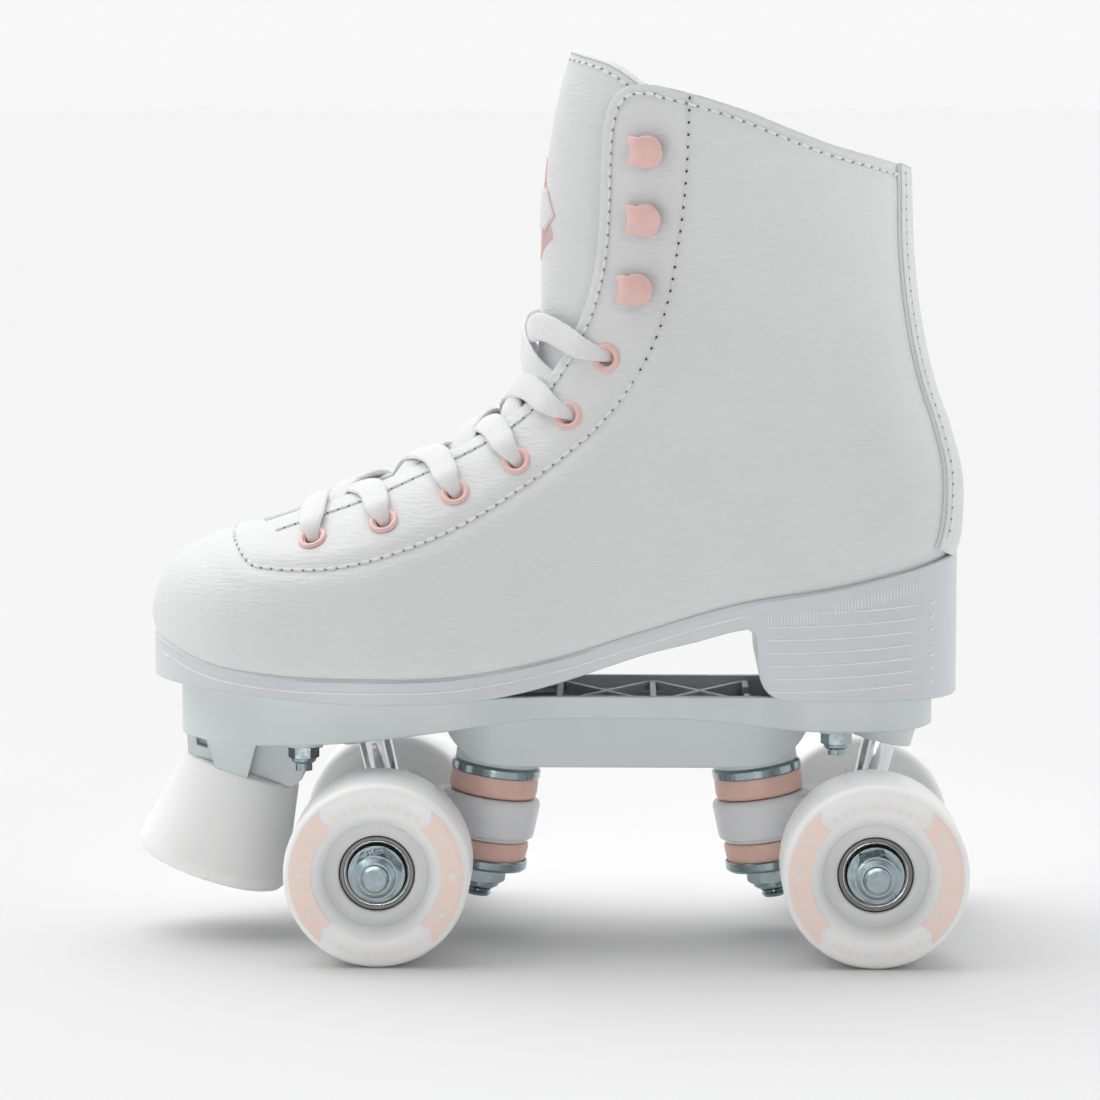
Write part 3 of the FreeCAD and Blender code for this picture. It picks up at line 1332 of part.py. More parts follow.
doc.recompute()
failed = [obj.Name for obj in doc.Objects
          if any(state in ("Invalid", "Error") for state in obj.State)]
if failed:
    raise SystemExit("failed objects: " + ", ".join(failed))
for label, obj in NODES.items():
    if obj.Shape.isNull() or not obj.Shape.isValid() or not obj.Shape.Solids:
        raise SystemExit("bad shape: " + label)
for label, obj in NODES.items():
    obj.Shape.exportStep(f"parts/{label}.step")
    box = obj.Shape.BoundBox
    print(label, len(obj.Shape.Solids), round(obj.Shape.Volume), "mm3",
          [round(value, 1) for value in (box.XMin, box.XMax, box.YMin, box.YMax, box.ZMin, box.ZMax)])
print(len(NODES), "nodes written")
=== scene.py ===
"""White quad roller skate with pink cushions, eyelets and hooks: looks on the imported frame."""

import math
from contextlib import contextmanager

import bmesh
import bpy
import numpy as np
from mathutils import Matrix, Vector
from mathutils.bvhtree import BVHTree
from mathutils.kdtree import KDTree


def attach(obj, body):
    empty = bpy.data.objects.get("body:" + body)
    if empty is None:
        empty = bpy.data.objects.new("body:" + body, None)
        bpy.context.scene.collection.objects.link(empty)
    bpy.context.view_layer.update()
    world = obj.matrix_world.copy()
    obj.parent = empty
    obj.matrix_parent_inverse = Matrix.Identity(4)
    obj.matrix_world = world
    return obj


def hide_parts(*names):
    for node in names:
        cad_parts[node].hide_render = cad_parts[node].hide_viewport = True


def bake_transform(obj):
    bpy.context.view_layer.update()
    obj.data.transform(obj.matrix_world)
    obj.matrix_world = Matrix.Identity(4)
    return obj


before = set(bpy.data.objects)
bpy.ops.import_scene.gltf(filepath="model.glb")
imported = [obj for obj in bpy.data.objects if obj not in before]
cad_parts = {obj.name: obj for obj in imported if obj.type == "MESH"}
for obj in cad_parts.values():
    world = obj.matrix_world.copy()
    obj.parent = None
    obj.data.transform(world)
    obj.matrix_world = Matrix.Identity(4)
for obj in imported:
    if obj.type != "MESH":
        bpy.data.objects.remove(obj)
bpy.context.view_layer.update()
MM = 0.001
TRUCKS = {"front": -1, "rear": 1}
SIDES = {"left": -1, "right": 1}

# ------------------------------------------------------------------ camera and stage

bpy.context.scene.view_settings.view_transform = "Standard"


def make_camera():
    """Long lens a little above the boot's middle, level with the wearer's left side."""
    data = bpy.data.cameras.new("camera")
    data.lens = CAMERA_LENS
    data.sensor_width = 36.0
    data.clip_end = 50.0
    camera = bpy.data.objects.new("camera", data)
    bpy.context.scene.collection.objects.link(camera)
    camera.location = Vector(CAMERA_PLACE) * MM
    aim = Vector(CAMERA_AIM) * MM - camera.location
    camera.rotation_euler = aim.to_track_quat("-Z", "Y").to_euler()
    bpy.context.scene.camera = camera


def new_object(name, verts, faces, smooth=True):
    """Mesh object from points in millimetres."""
    mesh = bpy.data.meshes.new(name)
    mesh.from_pydata([tuple(float(c) * MM for c in v) for v in verts], [], faces)
    mesh.validate()
    mesh.update()
    mesh.polygons.foreach_set("use_smooth", [smooth] * len(mesh.polygons))
    obj = bpy.data.objects.new(name, mesh)
    bpy.context.scene.collection.objects.link(obj)
    return obj


def make_floor():
    """Wide level floor of pale matt board."""
    reach = 60000.0
    floor = new_object("floor", [(-reach, -reach, 0.0), (reach, -reach, 0.0),
                                 (reach, reach, 0.0), (-reach, reach, 0.0)], [(0, 1, 2, 3)])
    paint = bpy.data.materials.new("floor_paint")
    paint.use_nodes = True
    shader = paint.node_tree.nodes["Principled BSDF"]
    shader.inputs["Base Color"].default_value = (FLOOR_WHITE, FLOOR_WHITE, FLOOR_WHITE, 1)
    shader.inputs["Roughness"].default_value = 1.0
    shader.inputs["Specular IOR Level"].default_value = 0.0
    floor.data.materials.append(paint)


def make_studio():
    """White room all round, darker on the photographer's side and brighter overhead."""
    world = bpy.data.worlds.new("studio")
    bpy.context.scene.world = world
    world.use_nodes = True
    tree = world.node_tree
    sky = tree.nodes["Background"]
    sky.inputs["Color"].default_value = (1.0, 1.0, 1.0, 1)
    direction = tree.nodes.new("ShaderNodeTexCoord").outputs["Generated"]
    level = None
    for aim, start, full, value in STUDIO_ZONES:
        dot = tree.nodes.new("ShaderNodeVectorMath")
        dot.operation = "DOT_PRODUCT"
        dot.inputs[1].default_value = Vector(aim).normalized()
        tree.links.new(direction, dot.inputs[0])
        spread = tree.nodes.new("ShaderNodeMapRange")
        spread.interpolation_type = "SMOOTHSTEP"
        spread.inputs["From Min"].default_value = start
        spread.inputs["From Max"].default_value = full
        spread.inputs["To Min"].default_value = 1.0 if level is not None else ROOM_WHITE
        spread.inputs["To Max"].default_value = value if level is not None else ROOM_WHITE * value
        tree.links.new(dot.outputs["Value"], spread.inputs["Value"])
        if level is None:
            level = spread.outputs["Result"]
            continue
        product = tree.nodes.new("ShaderNodeMath")
        product.operation = "MULTIPLY"
        tree.links.new(level, product.inputs[0])
        tree.links.new(spread.outputs["Result"], product.inputs[1])
        level = product.outputs[0]
    tree.links.new(level, sky.inputs["Strength"])


def softbox(name, size, spread, energy, place, target):
    """Rectangular lamp in front of the skate."""
    data = bpy.data.lights.new(name, "AREA")
    data.shape = "RECTANGLE"
    data.size, data.size_y = size
    data.spread = math.radians(spread)
    data.energy = energy
    light = bpy.data.objects.new(name, data)
    bpy.context.scene.collection.objects.link(light)
    light.location = place
    aim = Vector(target) - light.location
    light.rotation_euler = aim.to_track_quat("-Z", "Y").to_euler()


def make_softboxes():
    """A long one on the floor for the wheels and trucks, and a high one for the boot's shaft."""
    softbox("low_softbox", (1.0, 0.06), 30, 0.1, (-0.1, -0.8, 0.035), (-0.02, 0.0, 0.02))
    softbox("high_softbox", (0.2, 0.1), 28, 0.028, (0.35, -0.6, 0.5), (0.07, 0.0, 0.26))


CAMERA_LENS = 138.17
CAMERA_PLACE = (0.83, -1257.2, 252.9)
CAMERA_AIM = (-22.98, 0.0, 115.0)
ROOM_WHITE = 0.94
FLOOR_WHITE = 0.76
# Direction of each zone, cosines where it starts and where it is full, and its brightness.
STUDIO_ZONES = [((0.0, -0.85, 0.5), 0.40, 0.88, 0.16), ((-0.3, 0.15, 1.0), 0.68, 0.94, 3.0)]

make_camera()
make_floor()
make_studio()
make_softboxes()

# ------------------------------------------------------------------ materials


class Paint:
    """A node-based material under construction."""

    def __init__(self, name, color, roughness, metallic=0.0, specular=0.5):
        self.material = bpy.data.materials.new(name)
        self.material.use_nodes = True
        self.tree = self.material.node_tree
        self.shader = self.tree.nodes["Principled BSDF"]
        self.color = color
        self.roughness = roughness
        self.set("Base Color", (*color, 1))
        self.set("Roughness", roughness)
        self.set("Metallic", metallic)
        self.set("Specular IOR Level", specular)
        self.coords = self.tree.nodes.new("ShaderNodeTexCoord")
        self.height = None

    def set(self, socket, value):
        self.shader.inputs[socket].default_value = value

    def node(self, kind, **inputs):
        made = self.tree.nodes.new(kind)
        for socket, value in inputs.items():
            made.inputs[socket.replace("_", " ")].default_value = value
        return made

    def link(self, source, target):
        self.tree.links.new(source, target)

    def place(self, scale, source="Object"):
        """Texture coordinates stretched by a scale along each axis."""
        mapping = self.node("ShaderNodeMapping")
        mapping.inputs["Scale"].default_value = scale
        self.link(self.coords.outputs[source], mapping.inputs["Vector"])
        return mapping.outputs["Vector"]

    def noise(self, scale, stretch=(1, 1, 1), detail=3.0):
        made = self.node("ShaderNodeTexNoise", Scale=scale, Detail=detail)
        self.link(self.place(stretch), made.inputs["Vector"])
        return made.outputs["Fac"]

    def waves(self, scale, stretch=(1, 1, 1), direction="X", source="Object", distortion=0.0):
        made = self.node("ShaderNodeTexWave", Scale=scale, Distortion=distortion)
        made.bands_direction = direction
        self.link(self.place(stretch, source), made.inputs["Vector"])
        return made.outputs["Fac"]

    def math(self, operation, first, second):
        made = self.tree.nodes.new("ShaderNodeMath")
        made.operation = operation
        for slot, value in enumerate((first, second)):
            if isinstance(value, (int, float)):
                made.inputs[slot].default_value = value
            else:
                self.link(value, made.inputs[slot])
        return made.outputs[0]

    def ramp(self, source, low, high, start=0.3, end=0.7):
        made = self.tree.nodes.new("ShaderNodeValToRGB")
        made.color_ramp.elements[0].position = start
        made.color_ramp.elements[1].position = end
        made.color_ramp.elements[0].color = (*low, 1)
        made.color_ramp.elements[1].color = (*high, 1)
        self.link(source, made.inputs["Fac"])
        return made.outputs["Color"]

    def tint(self, source, share, start=0.3, end=0.7):
        """Colour that wanders below the base colour by a share."""
        low = tuple(c * (1 - share) for c in self.color)
        self.link(self.ramp(source, low, self.color, start, end), self.shader.inputs["Base Color"])

    def gloss(self, source, spread):
        """Roughness that wanders about its value."""
        low = [self.roughness - spread] * 3
        high = [self.roughness + spread] * 3
        self.link(self.ramp(source, low, high), self.shader.inputs["Roughness"])

    def bump(self, source, strength, distance):
        made = self.node("ShaderNodeBump", Strength=strength, Distance=distance)
        self.link(source, made.inputs["Height"])
        if self.height is not None:
            self.link(self.height, made.inputs["Normal"])
        self.height = made.outputs["Normal"]
        self.link(self.height, self.shader.inputs["Normal"])

    def soft_edges(self, radius):
        """Edges that catch the light as if they were rounded."""
        made = self.node("ShaderNodeBevel", Radius=radius)
        made.samples = 4
        self.link(made.outputs["Normal"], self.shader.inputs["Normal"])
        self.height = made.outputs["Normal"]


def leather(name, color):
    """Smooth synthetic leather with a fine grain that runs level round the boot."""
    paint = Paint(name, color, 0.46, specular=0.45)
    grain = paint.noise(900.0, (0.35, 0.35, 1.6), detail=4.0)
    paint.tint(paint.noise(35.0), 0.025)
    paint.gloss(paint.noise(120.0), 0.06)
    paint.bump(paint.noise(55.0), 0.08, 0.002)
    paint.bump(grain, 0.55, 0.0007)
    return paint.material


def moulded(name, color, roughness=0.38, edge=0.0005):
    """Injection-moulded plastic with a faint flow pattern and soft edges."""
    paint = Paint(name, color, roughness, specular=0.45)
    paint.soft_edges(edge)
    paint.tint(paint.noise(40.0), 0.02)
    paint.gloss(paint.noise(90.0), 0.05)
    paint.bump(paint.noise(1400.0), 0.05, 0.0001)
    return paint.material


def urethane(name, color, roughness=0.36, edge=0.0004):
    """Cast polyurethane: a little light goes into it."""
    paint = Paint(name, color, roughness, specular=0.42)
    paint.set("Subsurface Weight", 0.25)
    paint.set("Subsurface Scale", 0.003)
    paint.set("Subsurface Radius", (1.0, 0.9, 0.85))
    paint.soft_edges(edge)
    paint.tint(paint.noise(60.0), 0.02)
    paint.gloss(paint.noise(150.0), 0.05)
    paint.bump(paint.noise(2200.0), 0.06, 0.00008)
    return paint.material


def metal(name, color, roughness, grain=0.12):
    paint = Paint(name, color, roughness, metallic=1.0)
    paint.soft_edges(0.00025)
    paint.tint(paint.noise(300.0), 0.12)
    paint.gloss(paint.noise(700.0), 0.07)
    paint.bump(paint.noise(2600.0), grain, 0.00006)
    return paint.material


def lacquer(name, color):
    """Glossy lacquer over metal."""
    paint = Paint(name, color, 0.3, specular=0.5)
    paint.set("Coat Weight", 0.6)
    paint.set("Coat Roughness", 0.12)
    paint.soft_edges(0.0003)
    paint.tint(paint.noise(250.0), 0.05)
    paint.bump(paint.noise(500.0), 0.05, 0.0002)
    return paint.material


def knit(name, color, roughness=0.9):
    """Soft lining cloth."""
    paint = Paint(name, color, roughness, specular=0.2)
    paint.set("Sheen Weight", 0.25)
    paint.tint(paint.noise(700.0), 0.08)
    weave = paint.math("MULTIPLY", paint.waves(420.0, direction="X"), paint.waves(420.0, direction="Z"))
    paint.bump(weave, 0.3, 0.0003)
    return paint.material


def woven_lace(name, color):
    """Flat cotton lace, woven in a fine herringbone, laid out along its own length."""
    paint = Paint(name, color, 0.85, specular=0.25)
    paint.set("Sheen Weight", 0.3)
    ribs = paint.waves(1.0, (0.62, 0.55, 1.0), direction="DIAGONAL", source="UV", distortion=1.2)
    rows = paint.waves(1.0, (0.55, 0.2, 1.0), direction="X", source="UV")
    both = paint.math("ADD", paint.math("MULTIPLY", ribs, 0.5), paint.math("MULTIPLY", rows, 0.6))
    paint.tint(both, 0.1, 0.1, 0.9)
    paint.bump(both, 0.5, 0.0004)
    return paint.material


def thread(name, color):
    paint = Paint(name, color, 0.7, specular=0.3)
    twist = paint.waves(900.0, direction="DIAGONAL")
    paint.tint(twist, 0.08)
    paint.bump(twist, 0.3, 0.0001)
    return paint.material


WHITE_LEATHER = leather("white_leather", (0.80, 0.805, 0.81))
WHITE_LINING = knit("white_lining", (0.80, 0.80, 0.80))
WHITE_LACE = woven_lace("white_lace", (0.965, 0.965, 0.975))
WHITE_THREAD = thread("white_thread", (0.92, 0.92, 0.925))
WHITE_SOLE = moulded("white_sole", (0.69, 0.70, 0.73), 0.34, 0.0007)
WHITE_PLATE = moulded("white_plate", (0.68, 0.725, 0.735), 0.36, 0.0008)
WHITE_HANGER = moulded("white_hanger", (0.82, 0.83, 0.85), 0.3, 0.0006)
WHITE_WHEEL = urethane("white_wheel", (0.94, 0.94, 0.93))
WHITE_HUB = moulded("white_hub", (0.74, 0.75, 0.77), 0.35)
WHITE_STOP = urethane("white_stop", (0.94, 0.94, 0.935), 0.42, 0.0008)
PINK_CUSHION = urethane("pink_cushion", (0.84, 0.55, 0.47), 0.4)
PINK_LACQUER = lacquer("pink_eyelet", (0.88, 0.57, 0.52))
ZINC = metal("zinc_steel", (0.33, 0.40, 0.425), 0.15)
BEARING = metal("bearing_steel", (0.72, 0.73, 0.75), 0.16, 0.05)
DARK_RING = metal("bearing_ring", (0.15, 0.14, 0.135), 0.34)
PIVOT_RUBBER = moulded("pivot_rubber", (0.72, 0.73, 0.75), 0.6)
PRINT = moulded("peach_print", (0.95, 0.77, 0.69), 0.42, 0.0001)
FAINT_PRINT = moulded("faint_print", (0.94, 0.87, 0.82), 0.42, 0.0001)
PINK_THREAD = thread("pink_thread", (0.88, 0.62, 0.58))
# Near-black cloth for the needle holes: painted shade standing in for the dark inside each hole.
NEEDLE_HOLE_SHADE = knit("painted_hole_shade", (0.05, 0.05, 0.06), 0.9)
# Grey cloth for the dots between stitches: painted shade where the thread goes into the leather.
SEAM_HOLE_SHADE = knit("painted_seam_shade", (0.30, 0.30, 0.31), 0.9)
# Pale paint for the sole's fine beads, lighter than the sole itself: a painted highlight along their
# ridges.
SOLE_RIDGE_HIGHLIGHT = moulded("sole_line", (0.87, 0.87, 0.885), 0.3, 0.0001)

NODE_PAINTS = {
    "insole": WHITE_LINING, "eyelets": PINK_LACQUER, "mounting_bolts": ZINC,
    "mounting_nuts": ZINC, "base_plate": WHITE_PLATE, "sole_unit": WHITE_SOLE,
    "toe_stop": WHITE_STOP, "toe_stop_washer": ZINC, "toe_stop_bolt": ZINC,
    "kingpin": ZINC, "kingpin_nut": ZINC, "upper_washer": ZINC, "lower_washer": ZINC,
    "pivot_cup": PIVOT_RUBBER, "hanger": WHITE_HANGER, "pivot_pin": BEARING, "axle": ZINC,
    "axle_nuts": ZINC, "axle_washers": ZINC, "inner_rings": BEARING, "bearing_spacers": ZINC,
    "bearing_balls": BEARING, "tyre": WHITE_WHEEL, "hub": WHITE_HUB, "outer_rings": DARK_RING,
}


def paint_frame():
    """Procedural materials on the CAD nodes that stay."""
    for name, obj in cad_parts.items():
        kind = name
        for prefix in ("front_", "rear_", "left_", "right_"):
            kind = kind.removeprefix(prefix)
        paint = NODE_PAINTS.get(kind)
        if paint is None:
            continue
        obj.data.materials.clear()
        obj.data.materials.append(paint)


paint_frame()

# ------------------------------------------------------------------ shape of the last

# The last's stations, as in the CAD model, in millimetres: front point, back point, half
# width, share of the widest place, roundness above and below it, and sideways shift.
STATIONS = np.array([
    (-142.6, 98.5, -142.6, 94.5, 4.2, 0.50, 2.0, 2.4, 3.6),
    (-141.6, 103.4, -140.6, 89.0, 10.5, 0.45, 2.0, 2.6, 3.6),
    (-138.4, 109.6, -137.0, 85.2, 19.5, 0.42, 2.1, 3.2, 3.4),
    (-132.5, 115.2, -130.6, 82.6, 29.0, 0.38, 2.1, 4.0, 3.0),
    (-122.0, 120.2, -120.5, 80.2, 37.5, 0.35, 2.1, 5.0, 2.3),
    (-107.5, 124.6, -106.0, 78.6, 42.8, 0.33, 2.1, 6.0, 1.4),
    (-91.0, 130.4, -88.0, 77.6, 44.8, 0.32, 2.1, 6.0, 0.6),
    (-74.0, 137.2, -68.0, 77.4, 44.6, 0.32, 2.15, 6.0, 0.0),
    (-58.0, 144.8, -45.0, 78.8, 41.6, 0.32, 2.15, 6.5, -0.5),
    (-44.0, 152.8, -20.0, 84.2, 37.6, 0.33, 2.1, 7.0, -0.8),
    (-34.5, 160.5, 8.0, 91.4, 35.4, 0.34, 2.1, 7.5, -0.8),
    (-30.0, 169.5, 42.0, 99.8, 34.6, 0.36, 2.1, 7.0, -0.5),
    (-28.9, 181.0, 80.0, 104.8, 34.4, 0.38, 2.1, 5.0, 0.0),
    (-28.8, 194.0, 95.8, 114.5, 34.2, 0.40, 2.1, 3.4, 0.0),
    (-28.5, 207.0, 98.9, 134.0, 33.6, 0.42, 2.1, 2.8, 0.0),
    (-28.0, 219.5, 95.8, 150.0, 33.2, 0.43, 2.05, 2.4, 0.0),
    (-26.8, 231.5, 90.0, 167.0, 33.8, 0.44, 2.0, 2.2, 0.0),
    (-25.0, 243.5, 85.9, 186.0, 35.0, 0.45, 2.0, 2.2, 0.0),
    (-22.4, 255.0, 83.7, 205.0, 36.4, 0.46, 2.0, 2.2, 0.0),
    (-19.0, 266.0, 83.0, 222.0, 37.6, 0.47, 2.0, 2.2, 0.0),
    (-15.0, 277.0, 82.0, 240.0, 38.8, 0.48, 2.0, 2.2, 0.0),
])
LAST_ROW = len(STATIONS) - 1
FRONT = math.pi / 2


def curve(a, b, c, d, t):
    """Place at a share t of the way from b to c on a smooth curve through all four."""
    return b + 0.5 * t * (c - a + t * (2 * a - 5 * b + 4 * c - d + t * (3 * (b - c) + d - a)))


def station(v):
    """Rows of the last at any station numbers, by a smooth curve through the rows."""
    v = np.clip(np.asarray(v, float), 0.0, LAST_ROW)
    i = np.minimum(v.astype(int), LAST_ROW - 1)
    t = (v - i)[..., None]
    return curve(*(STATIONS[np.clip(i + k, 0, LAST_ROW)] for k in (-1, 0, 1, 2)), t)


def surface(v, angle, lift=0.0):
    """Points of the last in mm; angle 90 degrees is the front, -90 the back, 0 the left."""
    v, angle, lift = np.broadcast_arrays(np.asarray(v, float), angle, lift)
    row = station(v)
    before, after = station(v - 0.05), station(v + 0.05)
    ends = []
    for k, sign in ((0, 1), (2, -1)):
        dx = after[..., k] - before[..., k]
        dz = after[..., k + 1] - before[..., k + 1]
        size = np.hypot(dx, dz) + 1e-9
        ends.append((row[..., k] - sign * lift * dz / size, row[..., k + 1] + sign * lift * dx / size))
    (fx, fz), (bx, bz) = ends
    half = np.maximum(row[..., 4] + lift, 1.5)
    widest, top, low, shift = (row[..., k] for k in (5, 6, 7, 8))
    c, d = np.cos(angle), np.sin(angle)
    power = np.where(d >= 0, top, low)
    y = half * np.sign(c) * np.abs(c) ** (2 / power)
    reach = np.where(d >= 0, 1 - widest, widest)
    share = widest + reach * np.sign(d) * np.abs(d) ** (2 / power)
    return np.stack([bx + (fx - bx) * share, shift - y, bz + (fz - bz) * share], axis=-1)


def normals(v, angle, lift=0.0):
    """Outward directions of the last's surface."""
    along = surface(v + 0.03, angle, lift) - surface(np.asarray(v) - 0.03, angle, lift)
    around = surface(v, angle + 0.03, lift) - surface(v, angle - 0.03, lift)
    out = np.cross(along, around)
    return out / (np.linalg.norm(out, axis=-1, keepdims=True) + 1e-12)


def locate(x, z):
    """Station numbers and left-side angles of the surface places seen at (x, z)."""
    x, z = np.asarray(x, float), np.asarray(z, float)
    low, high = np.zeros_like(x), np.full_like(x, LAST_ROW)
    for _ in range(40):
        v = (low + high) / 2
        row = station(v)
        fx, fz, bx, bz = (row[..., k] for k in range(4))
        beyond = (fx - bx) * (z - bz) - (fz - bz) * (x - bx) > 0
        high = np.where(beyond, v, high)
        low = np.where(beyond, low, v)
    size = np.hypot(fx - bx, fz - bz)
    share = ((x - bx) * (fx - bx) + (z - bz) * (fz - bz)) / size ** 2
    widest = row[..., 5]
    upper = share >= widest
    power = np.where(upper, row[..., 6], row[..., 7])
    reach = np.where(upper, 1 - widest, widest)
    part = np.minimum(np.abs(share - widest) / reach, 1.0)
    return v, np.where(upper, 1, -1) * np.arcsin(part ** (power / 2))


def smooth_line(points, count):
    """Evenly spaced points on a smooth curve through the given ones."""
    p = np.asarray(points, float)
    p = np.vstack([2 * p[0] - p[1], p, 2 * p[-1] - p[-2]])
    t = np.linspace(0, 1, 25, endpoint=False)[:, None]
    fine = [curve(*p[i - 1:i + 3], t) for i in range(1, len(p) - 2)]
    return resample(np.vstack(fine + [p[-2:-1]]), count)


def resample(points, count):
    """The same line with evenly spaced points."""
    run = np.concatenate([[0], np.cumsum(np.linalg.norm(np.diff(points, axis=0), axis=1))])
    at = np.linspace(0, run[-1], count)
    return np.stack([np.interp(at, run, points[:, k]) for k in range(points.shape[1])], axis=1)


def shifted(line, distance):
    """A side-view line moved square to itself."""
    step = np.gradient(line, axis=0)
    step /= np.linalg.norm(step, axis=1, keepdims=True)
    return line + distance * np.stack([-step[:, 1], step[:, 0]], axis=1)


def mirrored(angle, side):
    """The same angle on the given side of the boot."""
    return angle if side < 0 else math.pi - angle


FACING_EDGE = smooth_line([(-107.5, 124.2), (-96, 128.2), (-78, 134.6), (-60, 142.6), (-44, 150.6),
                           (-33, 157.6), (-24.5, 166.5), (-18, 176.5), (-12.4, 189),
                           (-9.2, 202), (-8, 216), (-7.6, 231), (-6.8, 242), (-4.4, 249.6),
                           (0.6, 253.4), (8, 253.5)], 300)
STITCH_LINE = smooth_line([(-117.6, 121.62), (-112, 115.5), (-106.4, 113.4), (-86.5, 113.7),
                           (-66, 118.8), (-45.6, 127.6), (-25.2, 140.8), (-7.8, 155.4),
                           (3.8, 171.4), (11, 188.8), (15.2, 211.9), (16.9, 229.1),
                           (17.7, 250.0)], 300)
COLLAR_LINE = smooth_line([(8, 253.5), (20, 250.6), (33.3, 246.4), (46.6, 241.1), (59.9, 236.1),
                           (73.3, 232.3), (81.5, 229.9)], 160)
TONGUE_EDGE = smooth_line([(-106, 119.5), (-94, 122.5), (-78, 127.5), (-60, 135.3), (-42, 145.5),
                           (-26, 157), (-14.5, 169), (-7.2, 182), (-2.2, 197), (0.6, 214),
                           (1.8, 232), (2.6, 243), (2.9, 252.5)], 200)
TONGUE_TOP = smooth_line([(-19.6, 264.0), (-8.5, 260.6), (1.5, 254.4)], 60)
EYELETS = [(-92.0, 121.6), (-71.0, 126.8), (-50.2, 135.0), (-32.3, 144.0), (-17.2, 157.2),
           (-6.1, 174.2)]
HOOKS = [(2.6, 194.2), (5.2, 214.7), (5.8, 234.5)]
EYELET_HOLE = 3.1
HOLE_REACH = 7.0
FACING_THICK = 2.8
WALL_THICK = 4.6
SHAFT_START = 17.0
TONGUE_LIFT = -3.1
TONGUE_THICK = 4.0


# ------------------------------------------------------------------ sheets on the last

def even_angles(v, start, end, share):
    """Angles at even shares of the way round each station between two angles."""
    fine = start[:, None] + (end - start)[:, None] * np.linspace(0, 1, 240)[None, :]
    points = surface(v[:, None], fine)
    steps = np.linalg.norm(np.diff(points, axis=1), axis=2)
    run = np.concatenate([np.zeros((len(v), 1)), np.cumsum(steps, axis=1)], axis=1)
    run /= run[:, -1:]
    return np.array([np.interp(share[k], run[k], fine[k]) for k in range(len(v))])


def distances(points, line):
    """How far each point is from a side-view line, drawn on both sides of the boot."""
    v, angle = locate(*line.T)
    marks = np.vstack([surface(v, angle), surface(v, math.pi - angle)])
    tree = KDTree(len(marks))
    for index, mark in enumerate(marks):
        tree.insert(mark, index)
    tree.balance()
    return np.array([tree.find(p)[2] for p in points.reshape(-1, 3)]).reshape(points.shape[:-1])


def dent(points, line, depth, width):
    """Depth of a soft groove along a line, and every point's distance from the line."""
    gap = distances(points, line)
    return -depth * np.exp(-(gap / width) ** 2), gap


def full_turn(sides):
    """Evenly spaced angles all the way round."""
    return [2 * math.pi * k / sides for k in range(sides)]


def ring_faces(rows, sides):
    """Faces of a closed grid whose last row meets its first."""
    last = (rows - 1) * sides
    return grid_faces(rows, sides, closed=True) + [
        (last + k, last + (k + 1) % sides, (k + 1) % sides, k) for k in range(sides)]


def grid_faces(rows, columns, offset=0, closed=False):
    """Faces between rows of points; a closed grid also joins its last column to its first."""
    faces = []
    last = columns if closed else columns - 1
    for j in range(rows - 1):
        for i in range(last):
            k = (i + 1) % columns
            faces.append((offset + j * columns + i, offset + (j + 1) * columns + i,
                          offset + (j + 1) * columns + k, offset + j * columns + k))
    return faces


def facing_angles(v):
    """Left-side angle of the facing's edge at each station; the front where it is closed."""
    edge_v, edge_angle = locate(*FACING_EDGE.T)
    closed_v = edge_v[0] - 0.12
    edge_v = np.maximum.accumulate(np.concatenate([[closed_v], edge_v]))
    edge_angle = np.concatenate([[FRONT], edge_angle])
    return np.where(v <= closed_v, FRONT, np.interp(v, edge_v, edge_angle))


def collar_stations(angle):
    """Station number where the collar's line crosses each angle."""
    v, turn = locate(*COLLAR_LINE.T)
    v = np.concatenate([v, [v[-1]]])
    turn = np.concatenate([turn, [-FRONT]])
    order = np.argsort(turn)
    return np.interp(angle, turn[order], v[order])


def close_shell(name, outer, inner, bulge=0.9, rounds=4, first=0):
    """Wall between two sheets of the same grid, with rounded rims where the grid ends.

    The last row and, from the first row given, both end columns get a rim.
    """
    rows, columns = outer.shape[:2]
    border = ([(j, 0) for j in range(first, rows - 1)]
              + [(rows - 1, i) for i in range(columns - 1)]
              + [(j, columns - 1) for j in range(rows - 1, first - 1, -1)])
    inward = ([(j, 1) for j in range(first, rows - 1)]
              + [(rows - 2, i) for i in range(columns - 1)]
              + [(j, columns - 2) for j in range(rows - 1, first - 1, -1)])
    edge = np.array([outer[p] for p in border])
    away = edge - np.array([outer[p] for p in inward])
    away /= np.linalg.norm(away, axis=1, keepdims=True) + 1e-9
    under = np.array([inner[p] for p in border])
    verts = list(outer.reshape(-1, 3)) + list(inner.reshape(-1, 3))
    inner_start = rows * columns
    faces = grid_faces(rows, columns)
    faces += [tuple(reversed(f)) for f in grid_faces(rows, columns, inner_start)]
    inner_faces = len(faces) // 2
    ring = [j * columns + i for j, i in border]
    for step in range(1, rounds + 1):
        if step == rounds:
            following = [inner_start + j * columns + i for j, i in border]
        else:
            share = step / rounds
            push = bulge * math.sin(math.pi * share)
            following = list(range(len(verts), len(verts) + len(border)))
            verts += list(edge + (under - edge) * share + away * push)
        for k in range(len(border) - 1):
            faces.append((ring[k], ring[k + 1], following[k + 1], following[k]))
        ring = following
    obj = new_object(name, verts, faces)
    return obj, inner_faces


@contextmanager
def editing(obj):
    """An object's mesh, open for changes that are written back at the end."""
    mesh = bmesh.new()
    mesh.from_mesh(obj.data)
    mesh.verts.ensure_lookup_table()
    mesh.faces.ensure_lookup_table()
    yield mesh
    mesh.to_mesh(obj.data)
    mesh.free()


def face_outwards(obj):
    """Every face of a closed mesh turned to look outwards."""
    with editing(obj) as mesh:
        bmesh.ops.recalc_face_normals(mesh, faces=mesh.faces)


STITCH_IN = 2.6
COLLAR_STITCH_IN = 3.0
FACING_SEAM = shifted(FACING_EDGE, -STITCH_IN)[4:]
COLLAR_SEAM = shifted(COLLAR_LINE, -COLLAR_STITCH_IN)


